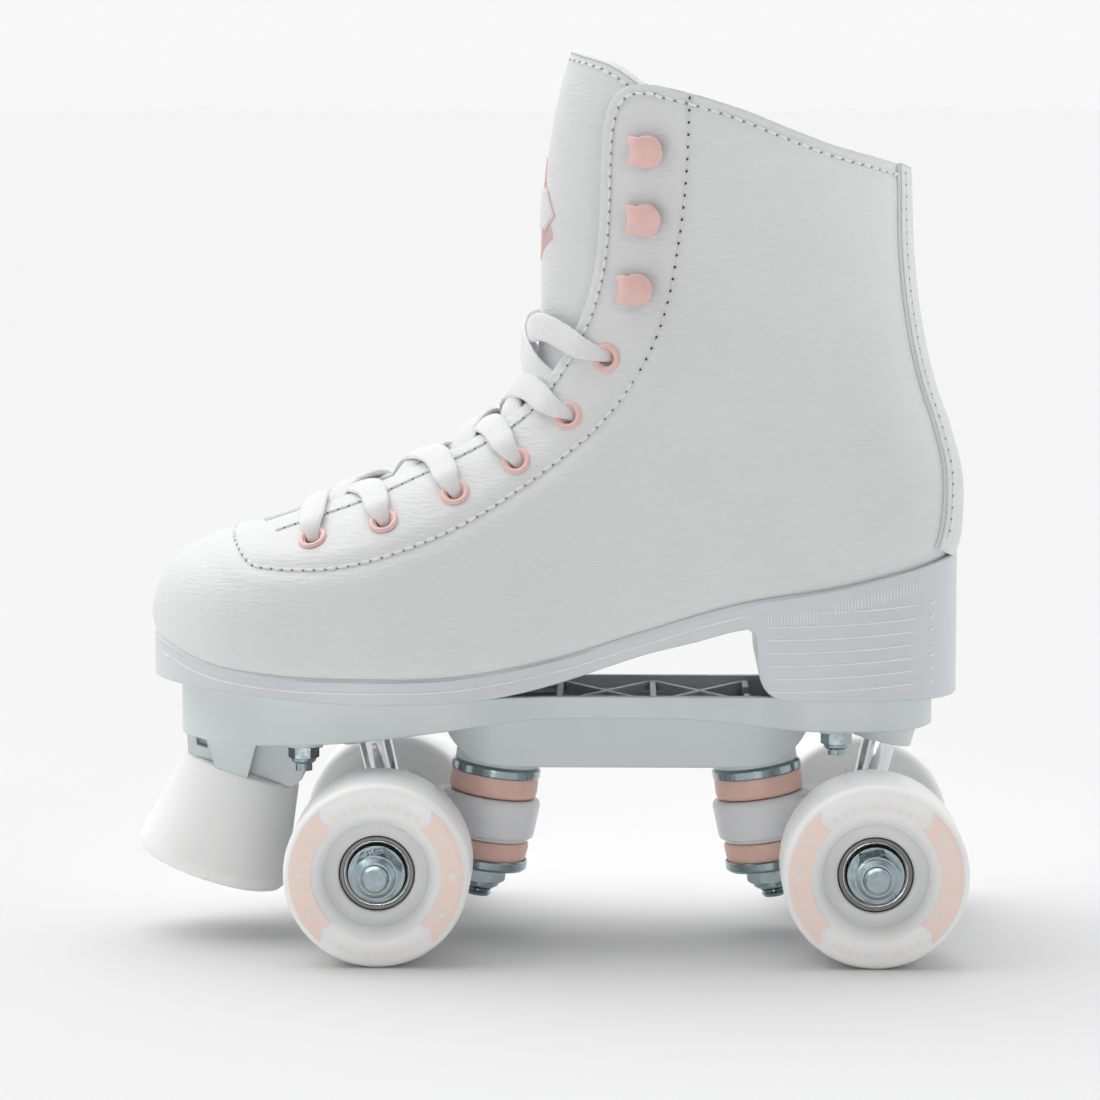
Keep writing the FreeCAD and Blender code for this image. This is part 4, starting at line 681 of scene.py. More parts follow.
def close_toe(obj, sheet, columns, joined):
    """Cap the tip of both sheets and weld the two halves ahead of the throat."""
    with editing(obj) as mesh:
        ends = []
        for start in (0, sheet):
            mesh.faces.new([mesh.verts[start + i] for i in range(columns - 1)]).smooth = True
            ends += [mesh.verts[start + j * columns + i] for j in range(joined) for i in (0, columns - 1)]
        bmesh.ops.remove_doubles(mesh, verts=ends, dist=0.01 * MM)
        bmesh.ops.recalc_face_normals(mesh, faces=mesh.faces)


def make_upper():
    """Leather upper with its lining: one wall round the foot, open at the lacing and the top."""
    rows, half_columns = 300, 96
    base = np.linspace(0, 1, rows)
    share = np.linspace(0, 1, half_columns)
    guide = np.concatenate([[0.0, 0.25, 0.6], np.arange(1.0, 19.3, 0.05)])
    front_run, back_run, side_run = (
        np.linalg.norm(np.diff(surface(guide, turn), axis=0), axis=1) for turn in (FRONT, -FRONT, 0.0))
    run = np.concatenate([[0], np.cumsum(front_run + back_run + side_run)])
    top = collar_stations(locate(np.array([8.0]), np.array([253.5]))[1])[0]
    v_rows = np.interp(base * np.interp(top, guide, run), run, guide)
    throat = locate(*FACING_EDGE[:1].T)[0][0]
    dense = np.linspace(throat - 0.14, throat + 0.35, 26)
    v_rows = np.sort(np.concatenate([v_rows, dense]))
    angle = even_angles(v_rows, np.full(len(v_rows), -FRONT), facing_angles(v_rows),
                        np.tile(share, (len(v_rows), 1)))
    v = np.tile(v_rows[:, None], (1, half_columns))
    limit = collar_stations(angle[-1])
    stretch = np.clip((v_rows - SHAFT_START) / (top - SHAFT_START), 0, 1)[:, None]
    v = v + stretch ** 2 * (limit - top)[None, :]
    v_all = np.hstack([v[:, ::-1], v[:, 1:]])
    angle_all = np.hstack([angle[:, ::-1], math.pi - angle[:, 1:]])
    skin = surface(v_all, angle_all)
    seam_dent, seam_gap = dent(skin, STITCH_LINE, 0.35, 1.5)
    edge_dent, _ = dent(skin, FACING_SEAM, 0.22, 1.1)
    collar_dent, _ = dent(skin, COLLAR_SEAM, 0.35, 1.3)
    facing_zone = zone_of_facing(v_all, angle_all)
    puff = 0.35 * np.exp(-((seam_gap - 5.0) / 3.0) ** 2)
    lift = seam_dent + edge_dent + collar_dent + puff - 0.1
    outer = surface(v_all, angle_all, lift)
    blend = np.clip((seam_gap - 1.0) / 5.0, 0, 1)
    wall = np.where(facing_zone, FACING_THICK, FACING_THICK + (WALL_THICK - FACING_THICK) * blend)
    inner = surface(v_all, angle_all, -wall)
    joined = int((facing_angles(v_rows) > FRONT - 0.0001).sum())
    obj, skin_faces = close_shell("upper", outer, inner, first=joined - 1)
    obj.data.materials.append(WHITE_LEATHER)
    obj.data.materials.append(WHITE_LINING)
    slots = [0] * skin_faces + [1] * skin_faces
    slots += [0] * (len(obj.data.polygons) - len(slots))
    obj.data.polygons.foreach_set("material_index", slots)
    close_toe(obj, outer.shape[0] * outer.shape[1], outer.shape[1], joined)
    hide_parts("boot_upper", "boot_lining", "eyestays")
    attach(obj, "chassis")
    return obj


def zone_of_facing(v, angle):
    """True for the places between the outer seam and the lacing edge."""
    seam_v, seam_angle = locate(*STITCH_LINE.T)
    order = np.argsort(seam_v)
    line = np.interp(v, seam_v[order], seam_angle[order])
    folded = np.where(angle > FRONT, math.pi - angle, angle)
    return (folded > line) & (v > seam_v.min())


def eyelet_places():
    """Centre and outward direction of every eyelet."""
    v, angle = locate(*np.array(EYELETS).T)
    places = []
    for side in SIDES.values():
        turn = mirrored(angle, side)
        places += list(zip(surface(v, turn), normals(v, turn)))
    return places


def open_holes(obj, radius):
    """Takes away the leather inside each eyelet."""
    with editing(obj) as mesh:
        centres = np.array([tuple(f.calc_center_median()) for f in mesh.faces]) / MM
        gone = np.zeros(len(centres), bool)
        for place, out in eyelet_places():
            offset = centres - place
            depth = offset @ out
            away = np.linalg.norm(offset - depth[:, None] * out, axis=1)
            gone |= (away < radius) & (np.abs(depth) < HOLE_REACH)
        bmesh.ops.delete(mesh, geom=[mesh.faces[k] for k in np.nonzero(gone)[0]], context="FACES")


open_holes(make_upper(), EYELET_HOLE)


def patch(name, v_low, v_high, start, end, thickness, lift, rows, columns, bulge=0.9, crown=None):
    """Sheet with rounded edges between two stations and two lines of angles."""
    s = np.linspace(0, 1, rows)[:, None]
    v_guide = v_low.mean() + (v_high.mean() - v_low.mean()) * s[:, 0]
    share = np.tile(np.linspace(0, 1, columns), (rows, 1))
    angle = even_angles(v_guide, start(v_guide), end(v_guide), share)
    v = v_low[None, :] + (v_high - v_low)[None, :] * s
    added = np.zeros_like(v) if crown is None else crown(s, share)
    outer = surface(v, angle, lift + added)
    inner = surface(v, angle, lift - thickness)
    obj, faces = close_shell(name, outer, inner, bulge)
    close_bottom(obj, rows, columns)
    return obj


def close_bottom(obj, rows, columns):
    """Flat closing of a sheet's first row."""
    start = rows * columns
    with editing(obj) as mesh:
        for i in range(columns - 1):
            corners = [mesh.verts[k] for k in (i + 1, i, start + i, start + i + 1)]
            mesh.faces.new(corners).smooth = True


def tongue_half_angles(v):
    """Left-side angle of the tongue's edge at each station."""
    edge_v, edge_angle = locate(*TONGUE_EDGE.T)
    edge_v = np.maximum.accumulate(edge_v)
    return np.interp(v, edge_v, edge_angle)


def make_tongue():
    """Padded tongue under the lacing, rounded over at its top."""
    columns, rows = 64, 200
    top_v, top_angle = locate(*TONGUE_TOP.T)
    across = np.linspace(-1, 1, columns)
    reach = tongue_half_angles(np.array([18.7]))[0]
    at = FRONT - np.abs(across) * (FRONT - reach)
    order = np.argsort(top_angle)
    high = np.interp(at, top_angle[order], top_v[order])
    low = np.full(columns, 4.4)

    def pad(s, share):
        """Foam stands a little proud in the middle and thins out towards the edges."""
        side = np.abs(2 * share - 1)
        return -0.5 * side ** 4 + 1.5 * (1 - side ** 2) * np.clip(1 - s / 0.55, 0, 1) ** 0.5

    obj = patch("tongue_pad", low, high, tongue_half_angles,
                lambda v: math.pi - tongue_half_angles(v),
                TONGUE_THICK - 0.6, TONGUE_LIFT, rows, columns, 1.3, pad)
    obj.data.materials.append(WHITE_LEATHER)
    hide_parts("tongue")
    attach(obj, "chassis")


make_tongue()


def backstay_half(v):
    """Half width of the back strip, as an angle round the last."""
    return np.interp(v, [13.0, 14.5, 16.0, 19.4], [0.62, 0.52, 0.46, 0.42])


def make_backstay():
    """Leather strip down the back seam, thicker along its middle."""
    columns = 40
    low = np.full(columns, 13.05)
    high = np.full(columns, 19.36)

    def ridge(s, share):
        return 0.25 * (1 - np.abs(2 * share - 1) ** 6)

    obj = patch("backstay_strip", low, high, lambda v: -FRONT - backstay_half(v),
                lambda v: -FRONT + backstay_half(v), 1.4, 1.1, 150, columns, 0.5, ridge)
    obj.data.materials.append(WHITE_LEATHER)
    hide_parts("backstay")
    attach(obj, "chassis")


make_backstay()

# ------------------------------------------------------------------ stitching

CAPSULE = [(-0.5, 0.0), (-0.46, 0.6), (-0.3, 0.95), (0.0, 1.0), (0.3, 0.95), (0.46, 0.6), (0.5, 0.0)]
THREAD_SIDES = 6
STITCH_PITCH = 3.3
STITCH_SLANT = 0.1
SUNK_ABOVE = 168.0


def capsules(name, marks, length, radius, paint):
    """Row of short rounded threads; each mark is a place, a direction and the way up."""
    verts, faces = [], []
    for place, along, up in marks:
        across = np.cross(up, along)
        start = len(verts)
        for at, size in CAPSULE:
            for turn in full_turn(THREAD_SIDES):
                verts.append(place + along * (at * length)
                             + (across * math.cos(turn) + up * math.sin(turn)) * (size * radius + 0.01))
        rings = grid_faces(len(CAPSULE), THREAD_SIDES, start, closed=True)
        faces += [tuple(reversed(f)) for f in rings]
    obj = new_object(name, verts, faces)
    obj.data.materials.append(paint)
    return obj


def marks_along(points, out, pitch, slant):
    """Evenly spaced marks along a line of points with their outward directions."""
    count = max(2, int(np.linalg.norm(np.diff(points, axis=0), axis=1).sum() / pitch))
    both = resample(np.hstack([points, out * 1e-6]), count)
    places, ups = both[:, :3], both[:, 3:] * 1e6
    marks = []
    for k in range(count - 1):
        place = (places[k] + places[k + 1]) / 2
        up = ups[k] / np.linalg.norm(ups[k])
        along = places[k + 1] - places[k]
        along -= up * along.dot(up)
        along /= np.linalg.norm(along)
        across = np.cross(up, along)
        along = along * math.cos(slant) + across * math.sin(slant)
        marks.append((place, along, up))
    return marks


def seam_marks(line, lift):
    """Stitch marks on both sides of the boot along a side-view line."""
    v, angle = locate(*line.T)
    marks = []
    for side in SIDES.values():
        turn = mirrored(angle, side)
        marks += marks_along(surface(v, turn, lift), normals(v, turn), STITCH_PITCH, STITCH_SLANT * side)
    return marks


def tongue_seam_marks():
    """Stitch marks just under the tongue's upper edge."""
    line = shifted(TONGUE_TOP, -2.2)
    v, angle = locate(*line.T)
    v = np.concatenate([v, v[::-1]])
    angle = np.concatenate([math.pi - angle, angle[::-1]])[::-1]
    v = v[::-1]
    lift = TONGUE_LIFT + 0.05
    return marks_along(surface(v, angle, lift), normals(v, angle), STITCH_PITCH, 0.12)


def backstay_seam_marks():
    """Stitch marks up both sides of the back strip."""
    v = np.linspace(13.2, 19.25, 200)
    marks = []
    for hand in (-1, 1):
        angle = -FRONT + hand * (backstay_half(v) - 0.085)
        marks += marks_along(surface(v, angle, 1.32), normals(v, angle), STITCH_PITCH, STITCH_SLANT)
    return marks


def make_stitching():
    """White thread along every seam; the needle's holes between the stitches are dots of painted shade.
    """
    lower = STITCH_LINE[STITCH_LINE[:, 1] < SUNK_ABOVE]
    upper = STITCH_LINE[STITCH_LINE[:, 1] >= SUNK_ABOVE]
    marks = seam_marks(FACING_SEAM, 0.1) + seam_marks(COLLAR_SEAM, 0.02) + seam_marks(lower, -0.05)
    marks += tongue_seam_marks() + backstay_seam_marks()
    stitches = capsules("stitches", marks, 2.6, 0.46, WHITE_THREAD)
    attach(stitches, "chassis")
    # Grey dots of painted shade where the thread goes into the leather between the stitches.
    holes = [(p + 0.5 * STITCH_PITCH * a - 0.12 * u, a, u) for p, a, u in marks]
    dots = capsules("seam_shade_dots", holes, 0.75, 0.3, SEAM_HOLE_SHADE)
    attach(dots, "chassis")
    sunk = seam_marks(upper, -0.42)
    threads = capsules("sunk_stitches", sunk, 2.75, 0.3, WHITE_LEATHER)
    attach(threads, "chassis")
    # Near-black dots of painted shade in the needle holes of the sunk stitches.
    holes = [(p + 0.5 * STITCH_PITCH * a + 0.34 * u, a, u) for p, a, u in sunk]
    dots = capsules("hole_shade_dots", holes, 0.8, 0.3, NEEDLE_HOLE_SHADE)
    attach(dots, "chassis")


make_stitching()

# ------------------------------------------------------------------ laces

LACE_WIDTH = 8.4
LACE_THICK = 1.9
# At an eyelet the lace rises a little, bunches up and goes down the hole.
RISE = 0.9
DIVE_LENGTH = 3.4
DIVE_DEPTH = 4.2
PINCH_WIDTH = 3.9
PINCH_THICKER = 1.2


def ribbon(name, runs, paint):
    """Flat straps with rounded edges; each run is (points, ups, widths, thicknesses)."""
    profile = [(math.cos(t), math.sin(t)) for t in np.linspace(0, 2 * math.pi, 16, endpoint=False)]
    section = [(math.copysign(abs(c) ** 0.55, c), math.copysign(abs(s) ** 0.75, s)) for c, s in profile]
    verts, faces, coords = [], [], []
    for points, ups, widths, thicknesses in runs:
        start = len(verts)
        count = len(points)
        steps = np.gradient(points, axis=0)
        steps /= np.linalg.norm(steps, axis=1, keepdims=True)
        run = np.concatenate([[0], np.cumsum(np.linalg.norm(np.diff(points, axis=0), axis=1))])
        for k in range(count):
            across = np.cross(ups[k], steps[k])
            across /= np.linalg.norm(across)
            up = np.cross(steps[k], across)
            for c, s in section:
                verts.append(points[k] + across * (c * widths[k] / 2) + up * (s * thicknesses[k] / 2))
                coords.append((c * 3.8 + (20.0 if s < 0 else 0.0), run[k]))
        faces += grid_faces(count, len(section), start, closed=True)
        faces.append(tuple(start + k for k in range(len(section))))
        end = start + (count - 1) * len(section)
        faces.append(tuple(end + k for k in reversed(range(len(section)))))
    obj = new_object(name, verts, faces)
    layer = obj.data.uv_layers.new(name="lace")
    for loop in obj.data.loops:
        layer.data[loop.index].uv = coords[loop.vertex_index]
    obj.data.materials.append(paint)
    return obj


def lace_run(start, end, bar, over):
    """One crossing from under the far facing to an eyelet, over its facing and down the hole."""
    count = 46
    t = np.linspace(0.0, 1.0, count)
    ease = np.clip((t - 0.22) / 0.56, 0.0, 1.0)
    share = 0.5 * t + 0.5 * ease * ease * (3 - 2 * ease)
    v = start[0] + share * (end[0] - start[0])
    angle = start[1] + t * (end[1] - start[1])
    facing = facing_angles(v)
    folded = np.where(angle > FRONT, math.pi - angle, angle)
    on_facing = folded < facing + 0.05
    near_end = t > 0.5
    height = LACE_THICK / 2 + 0.45
    lift = np.where(on_facing & near_end, height, height - 0.4)
    lift = np.where(on_facing & ~near_end, height if bar else TONGUE_LIFT + 0.9, lift)
    kernel = np.ones(7) / 7
    lift = np.convolve(np.pad(lift, 3, mode="edge"), kernel, mode="valid")
    lift += over * 0.75 * np.exp(-((folded - FRONT) / 0.35) ** 2)
    length = np.linalg.norm(np.diff(surface(v, angle), axis=0), axis=1).sum()
    width = LACE_WIDTH * (0.97 + 0.03 * np.cos(t * 19))
    thick = LACE_THICK
    for from_hole in [(1 - t) * length, t * length][:2 if bar else 1]:
        lift += RISE * np.exp(-((from_hole - 6.5) / 3.0) ** 2)
        lift -= np.clip(1 - from_hole / DIVE_LENGTH, 0, 1) ** 1.5 * DIVE_DEPTH
        pinch = np.exp(-(from_hole / 5.5) ** 2)
        thick = thick + PINCH_THICKER * pinch
        width = width * (1 - pinch) + PINCH_WIDTH * pinch
    points = surface(v, angle, lift)
    for _ in range(2):
        points[1:-1] = (points[:-2] + 2 * points[1:-1] + points[2:]) / 4
    return points, normals(v, angle), width, thick


def make_laces():
    """Bar across the lowest eyelets, then crossings that take turns to lie on top."""
    spots = [tuple(float(a[0]) for a in locate(np.array([x]), np.array([z]))) for x, z in EYELETS]
    right = [(v, math.pi - turn) for v, turn in spots]
    runs = [lace_run(right[0], spots[0], True, 0.0)]
    for low in range(len(spots) - 1):
        swap = 1 if low % 2 else -1
        runs.append(lace_run(right[low], spots[low + 1], False, swap))
        runs.append(lace_run(spots[low], right[low + 1], False, -swap))
    laces = ribbon("laces", runs, WHITE_LACE)
    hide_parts("lace")
    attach(laces, "chassis")


make_laces()

# ------------------------------------------------------------------ hooks

def frame_at(x, z, side):
    """Matrix on the upper: X towards the toe, Z outwards."""
    v, angle = locate(np.array([x]), np.array([z]))
    turn = mirrored(angle, side)
    place, out = surface(v, turn)[0], normals(v, turn)[0]
    ahead = np.array([-1.0, 0.0, 0.0])
    ahead -= out * ahead.dot(out)
    ahead /= np.linalg.norm(ahead)
    across = np.cross(out, ahead)
    return np.column_stack([ahead, across, out]), place


def hook_outline():
    """Round plate that ends towards the toe in a wavy edge with two soft corners."""
    points = []
    for degrees in range(56, 305, 8):
        turn = math.radians(degrees)
        points.append((-1.0 + 4.75 * math.cos(turn), 4.75 * math.sin(turn)))
    lower = [(2.2, -4.15), (3.4, -4.3), (4.6, -4.35), (5.4, -4.05), (5.65, -3.4), (5.2, -2.5),
             (4.6, -1.5), (4.75, -0.6)]
    points += lower + [(x, -y) for x, y in reversed(lower)]
    return np.array(points)


# The hook's plate as scales and heights of its outline, its round foot as radii and heights,
# and the middle of the bend that joins them as places ahead and heights.
HOOK_RINGS = [(0.93, 2.86), (0.99, 2.92), (1.0, 3.1), (1.0, 3.4), (0.97, 3.62), (0.90, 3.74),
              (0.7, 3.92), (0.45, 4.05), (0.2, 4.1), (0.02, 4.12)]
HOOK_FOOT = [(0.02, -0.2), (4.3, -0.2), (4.4, 0.2), (4.3, 0.6), (3.9, 0.8), (0.02, 0.85)]
HOOK_BEND = [(2.2, 0.5), (3.6, 0.8), (4.3, 1.6), (4.2, 2.5), (3.4, 3.3), (1.6, 3.5)]
HOOK_CENTRE = np.array([-0.4, 0.0])
FOOT_SIDES = 28


def make_hooks():
    """Lacing hooks on both sides: a foot, a bend and a curled plate each."""
    outline = hook_outline()
    verts, faces = [], []
    for side in SIDES.values():
        for x, z in HOOKS:
            axes, place = frame_at(x, z, side)
            start = len(verts)
            for scale, height in HOOK_RINGS:
                for p in outline:
                    flat = HOOK_CENTRE + (p - HOOK_CENTRE) * scale
                    curl = 0.075 * max(flat[0] - 1.2, 0) ** 2
                    verts.append(place + axes @ np.array([flat[0], flat[1], height - curl]))
            count = len(outline)
            faces += grid_faces(len(HOOK_RINGS), count, start, closed=True)
            faces.append(tuple(start + k for k in reversed(range(count))))
            start = len(verts)
            for radius, height in HOOK_FOOT:
                for turn in full_turn(FOOT_SIDES):
                    verts.append(place + axes @ np.array(
                        [radius * math.cos(turn), radius * math.sin(turn), height]))
            faces += grid_faces(len(HOOK_FOOT), FOOT_SIDES, start, closed=True)
            start = len(verts)
            for ahead, height in HOOK_BEND:
                for y in (-2.6, 2.6):
                    for thick in (0.0, -0.7):
                        verts.append(place + axes @ np.array([ahead + thick, y, height]))
            for k in range(len(HOOK_BEND) - 1):
                a, b = start + 4 * k, start + 4 * (k + 1)
                for i, j in ((0, 1), (1, 3), (3, 2), (2, 0)):
                    faces.append((a + i, a + j, b + j, b + i))
    obj = new_object("lacing_hooks", verts, faces)
    obj.data.materials.append(PINK_LACQUER)
    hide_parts("hooks")
    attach(obj, "chassis")


make_hooks()


# ------------------------------------------------------------------ wheels

WHEEL_X = 72.0
WHEEL_Y = 45.0
WHEEL_RADIUS = 27.0
HALF_WHEEL = 16.0
LIP = 3.0
LIP_STEPS = 10
# Sections of the hub's dished face and the bearing's shield: radius, distance outwards.
HUB_DISH = [(15.08, 10.3), (15.08, 12.8), (15.06, 12.94), (14.95, 12.86), (14.2, 12.15),
            (13.2, 11.5), (12.1, 11.1), (11.3, 11.0), (11.18, 10.9), (11.15, 10.3)]
SHIELD = [(6.6, 10.1), (6.6, 10.24), (9.1, 10.24), (9.2, 10.4), (9.5, 10.4), (9.58, 10.3),
          (9.58, 10.1)]
PRINT_PROUD = 0.05
STAR_PROUD = 0.1
STAR_RADIUS = 22.2


def lip_height(radius):
    """Distance of the tyre's outer face from the wheel's middle plane."""
    beyond = max(radius - (WHEEL_RADIUS - LIP), 0.0)
    return HALF_WHEEL - LIP + math.sqrt(max(LIP ** 2 - beyond ** 2, 0.0))


def tyre_profile():
    """Half of the tyre's section, from the hub round the outer face to the tread."""
    half = [(15.0, 10.4), (15.0, 12.7), (15.02, 12.9), (15.1, 13.0), (15.8, 13.8), (16.8, 14.75),
            (17.9, 15.5), (19.2, 15.9), (21.0, 16.0)]
    for step in range(LIP_STEPS + 1):
        turn = math.radians(90 * step / LIP_STEPS)
        half.append((WHEEL_RADIUS - LIP + LIP * math.sin(turn),
                     HALF_WHEEL - LIP + LIP * math.cos(turn)))
    return half


def turned(name, profile, centre, sides=96):
    """Ring turned about the wheel's axle from points of radius and distance outwards."""
    verts = [(centre[0] + radius * math.cos(turn), centre[1] + out, centre[2] + radius * math.sin(turn))
             for radius, out in profile for turn in full_turn(sides)]
    obj = new_object(name, verts, ring_faces(len(profile), sides))
    face_outwards(obj)
    return obj


def on_face(centre, side, radius, turn, proud):
    """Place on a tyre's outer face."""
    return (centre[0] + radius * math.cos(turn), centre[1] + side * (lip_height(radius) + proud),
            centre[2] + radius * math.sin(turn))


def arc_patch(verts, faces, centre, side, middle, half_turn):
    """Printed band with arrow-shaped ends."""
    start = len(verts)
    radii = np.linspace(18.9, 25.2, 9)
    steps = 36
    for j, radius in enumerate(radii):
        share = j / (len(radii) - 1)
        notch = 0.075 * (1 - abs(2 * share - 1)) - 0.06 * share
        for k in range(steps + 1):
            t = 2 * k / steps - 1
            turn = middle + t * (half_turn - notch)
            verts.append(on_face(centre, side, radius, turn, PRINT_PROUD))
    faces += grid_faces(len(radii), steps + 1, start)


def star_patch(verts, faces, centre, side, radius, turn):
    """Small five-pointed star."""
    start = len(verts)
    verts.append(on_face(centre, side, radius, turn, STAR_PROUD))
    for k in range(10):
        size = 1.45 if k % 2 == 0 else 0.62
        point = turn + math.pi / 2 + 2 * math.pi * k / 10
        dx, dz = size * math.cos(point), size * math.sin(point)
        x = radius * math.cos(turn) + dx
        z = radius * math.sin(turn) + dz
        verts.append(on_face(centre, side, math.hypot(x, z), math.atan2(z, x), STAR_PROUD))
    faces += [(start, start + 1 + k, start + 1 + (k + 1) % 10) for k in range(10)]


def dash_patch(verts, faces, centre, side, radius, turn, length, height):
    """Short printed dash that follows the wheel round."""
    start = len(verts)
    for r in (radius - height / 2, radius, radius + height / 2):
        for k in range(5):
            at = turn + (k / 4 - 0.5) * length / radius
            verts.append(on_face(centre, side, r, at, PRINT_PROUD))
    faces += grid_faces(3, 5, start)


def print_on_wheel(wheel, name, verts, faces, paint):
    """Thin printed marks that turn with their wheel."""
    marks = new_object(f"{wheel}_{name}", verts, faces)
    marks.data.materials.append(paint)
    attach(marks, f"{wheel}_wheel")


def make_wheel(truck, end, hand, side):
    """Cast tyre with its turned hub dish and the pale print on its outer face."""
    wheel = f"{truck}_{hand}"
    centre = (end * WHEEL_X, side * WHEEL_Y, WHEEL_RADIUS)
    half = tyre_profile()
    whole = half + [(r, -h) for r, h in reversed(half)]
    tyre = turned(f"{wheel}_cast_tyre", whole, centre)
    tyre.data.materials.append(WHITE_WHEEL)
    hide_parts(f"{wheel}_tyre")
    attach(tyre, f"{wheel}_wheel")
    for name, flip in (("outer", side), ("inner", -side)):
        ring = turned(f"{wheel}_dish_{name}", [(r, flip * h) for r, h in HUB_DISH], centre, 72)
        ring.data.materials.append(WHITE_WHEEL)
        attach(ring, f"{wheel}_wheel")
        shield = turned(f"{wheel}_shield_{name}", [(r, flip * h) for r, h in SHIELD], centre, 72)
        shield.data.materials.append(BEARING)
        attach(shield, f"{wheel}_wheel")
    verts, faces = [], []
    for middle in (0.0, math.pi):
        arc_patch(verts, faces, centre, side, middle, math.radians(47))
    print_on_wheel(wheel, "print", verts, faces, PRINT)
    verts, faces = [], []
    for k in range(9):
        turn = math.radians(90 + (k - 4) * 9)
        dash_patch(verts, faces, centre, side, 20.6, turn, 1.7, 1.7)
    for k in range(11):
        turn = math.radians(-90 + (k - 5) * 6.5)
        dash_patch(verts, faces, centre, side, 23.0, turn, 1.3 if k % 3 else 0.5, 1.5)
    print_on_wheel(wheel, "dashes", verts, faces, FAINT_PRINT)
    verts, faces = [], []
    for middle in (0.0, math.pi):
        for offset in (-30, 0, 30):
            star_patch(verts, faces, centre, side, STAR_RADIUS, middle + math.radians(offset))
    print_on_wheel(wheel, "stars", verts, faces, WHITE_WHEEL)


for truck, end in TRUCKS.items():
    for hand, side in SIDES.items():
        make_wheel(truck, end, hand, side)

# ------------------------------------------------------------------ steering cushions

KINGPIN_X = -38.85
KINGPIN_TOP = 51.0
KINGPIN_TILT = math.radians(8.5)
UPPER_CUSHION = [(4.4, 1.7), (11.6, 1.7), (12.9, 2.4), (13.05, 4.0), (13.2, 6.0), (13.2, 8.2),
                 (12.8, 9.2), (11.9, 9.6), (4.4, 9.6)]
LOWER_CUSHION = [(4.4, 22.8), (12.0, 22.8), (12.9, 23.3), (13.0, 24.6), (12.8, 26.6),
                 (12.5, 28.6), (12.2, 29.6), (11.4, 30.0), (4.4, 30.0)]


def on_kingpin(end, depth, radius=0.0, turn=0.0):
    """Place round a kingpin, by depth below its top."""
    down = Vector((-math.sin(KINGPIN_TILT), 0.0, -math.cos(KINGPIN_TILT)))
    across = Vector((math.cos(KINGPIN_TILT), 0.0, -math.sin(KINGPIN_TILT)))
    point = Vector((KINGPIN_X, 0.0, KINGPIN_TOP)) + down * depth
    point += across * (radius * math.cos(turn)) + Vector((0.0, radius * math.sin(turn), 0.0))
    if end > 0:
        point = Vector((-point.x, -point.y, point.z))
    return point


def softened(profile, rounds=2):
    """Profile with its corners cut twice over, so that it turns smoothly."""
    points = [np.array(p, float) for p in profile]
    for _ in range(rounds):
        finer = [points[0]]
        for a, b in zip(points[:-1], points[1:]):
            finer += [a * 0.8 + b * 0.2, a * 0.2 + b * 0.8]
        points = finer + [points[-1]]
    return points


def make_cushion(truck, end, name, profile):
    """Urethane ring between the plate and the hanger."""
    sides = 72
    shape = softened(profile)
    verts = [on_kingpin(end, depth, radius, turn) for radius, depth in shape for turn in full_turn(sides)]
    ring = new_object(f"{truck}_{name}_ring", verts, ring_faces(len(shape), sides))
    face_outwards(ring)
    ring.data.materials.append(PINK_CUSHION)
    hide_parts(f"{truck}_{name}")
    low, high = min(p[1] for p in shape), max(p[1] for p in shape)
    ends = ("chassis", low, f"{truck}_truck", high)
    if name == "lower_cushion":
        ends = (f"{truck}_truck", low, "chassis", high)
    on_kingpin(end, ends[1]) * MM
    on_kingpin(end, ends[3]) * MM
    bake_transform(ring)


for truck, end in TRUCKS.items():
    make_cushion(truck, end, "upper_cushion", UPPER_CUSHION)
    make_cushion(truck, end, "lower_cushion", LOWER_CUSHION)

# ------------------------------------------------------------------ sole's fine lines

SOLE_TOP = smooth_line([(-145, 90.6), (-136, 88.6), (-128, 85.8), (-118, 83.4), (-97, 81.4),
                        (-73, 80.9), (-57, 81.0), (-41, 82.6), (-19, 87.0), (4, 94.0),
                        (33, 102.4), (60, 106.8), (77, 110.8), (88, 113.6), (99, 116.6)], 400)


BEAD_SIDES = 8
# The heel block's ribs: where they start and end, the lowest one's height and their spacing.
RIB_START = 40.6
RIB_END = 85.0
RIB_LOW = 77.0
RIB_PITCH = 3.84
SHORT_RIB_START = 56.0


def sole_top(x):
    """Height of the sole's upper edge."""
    return np.interp(x, SOLE_TOP[:, 0], SOLE_TOP[:, 1])


def mesh_tree(name):
    """Search tree over a CAD node's surface, in metres."""
    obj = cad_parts[name]
    corners = [obj.matrix_world @ v.co for v in obj.data.vertices]
    return BVHTree.FromPolygons(corners, [tuple(p.vertices) for p in obj.data.polygons])


def on_wall(tree, x, z, side):
    """Place and outward direction on a side wall at a height."""
    origin = Vector((x, side * 90.0, z)) * MM
    hit, normal, _, _ = tree.ray_cast(origin, Vector((0.0, -side, 0.0)))
    if hit is None:
        return None
    if normal.y * side < 0:
        normal = -normal
    return np.array(hit) / MM, np.array(normal)


def thin_bead(verts, faces, tree, line, side, radius, proud):
    """Fine raised line along a wall; line holds (x, z) places in order."""
    marks = [on_wall(tree, x, z, side) for x, z in line]
    marks = [m for m in marks if m is not None]
    if len(marks) < 3:
        return
    places = np.array([m[0] for m in marks])
    outs = np.array([m[1] for m in marks])
    steps = np.gradient(places, axis=0)
    steps /= np.linalg.norm(steps, axis=1, keepdims=True)
    start = len(verts)
    for k, place in enumerate(places):
        across = np.cross(outs[k], steps[k])
        across /= np.linalg.norm(across)
        size = radius * min(1.0, 0.3 + 0.35 * min(k, len(places) - 1 - k))
        verts += [place + outs[k] * (proud + size * math.sin(turn)) + across * (size * math.cos(turn))
                  for turn in full_turn(BEAD_SIDES)]
    faces += grid_faces(len(places), BEAD_SIDES, start, closed=True)


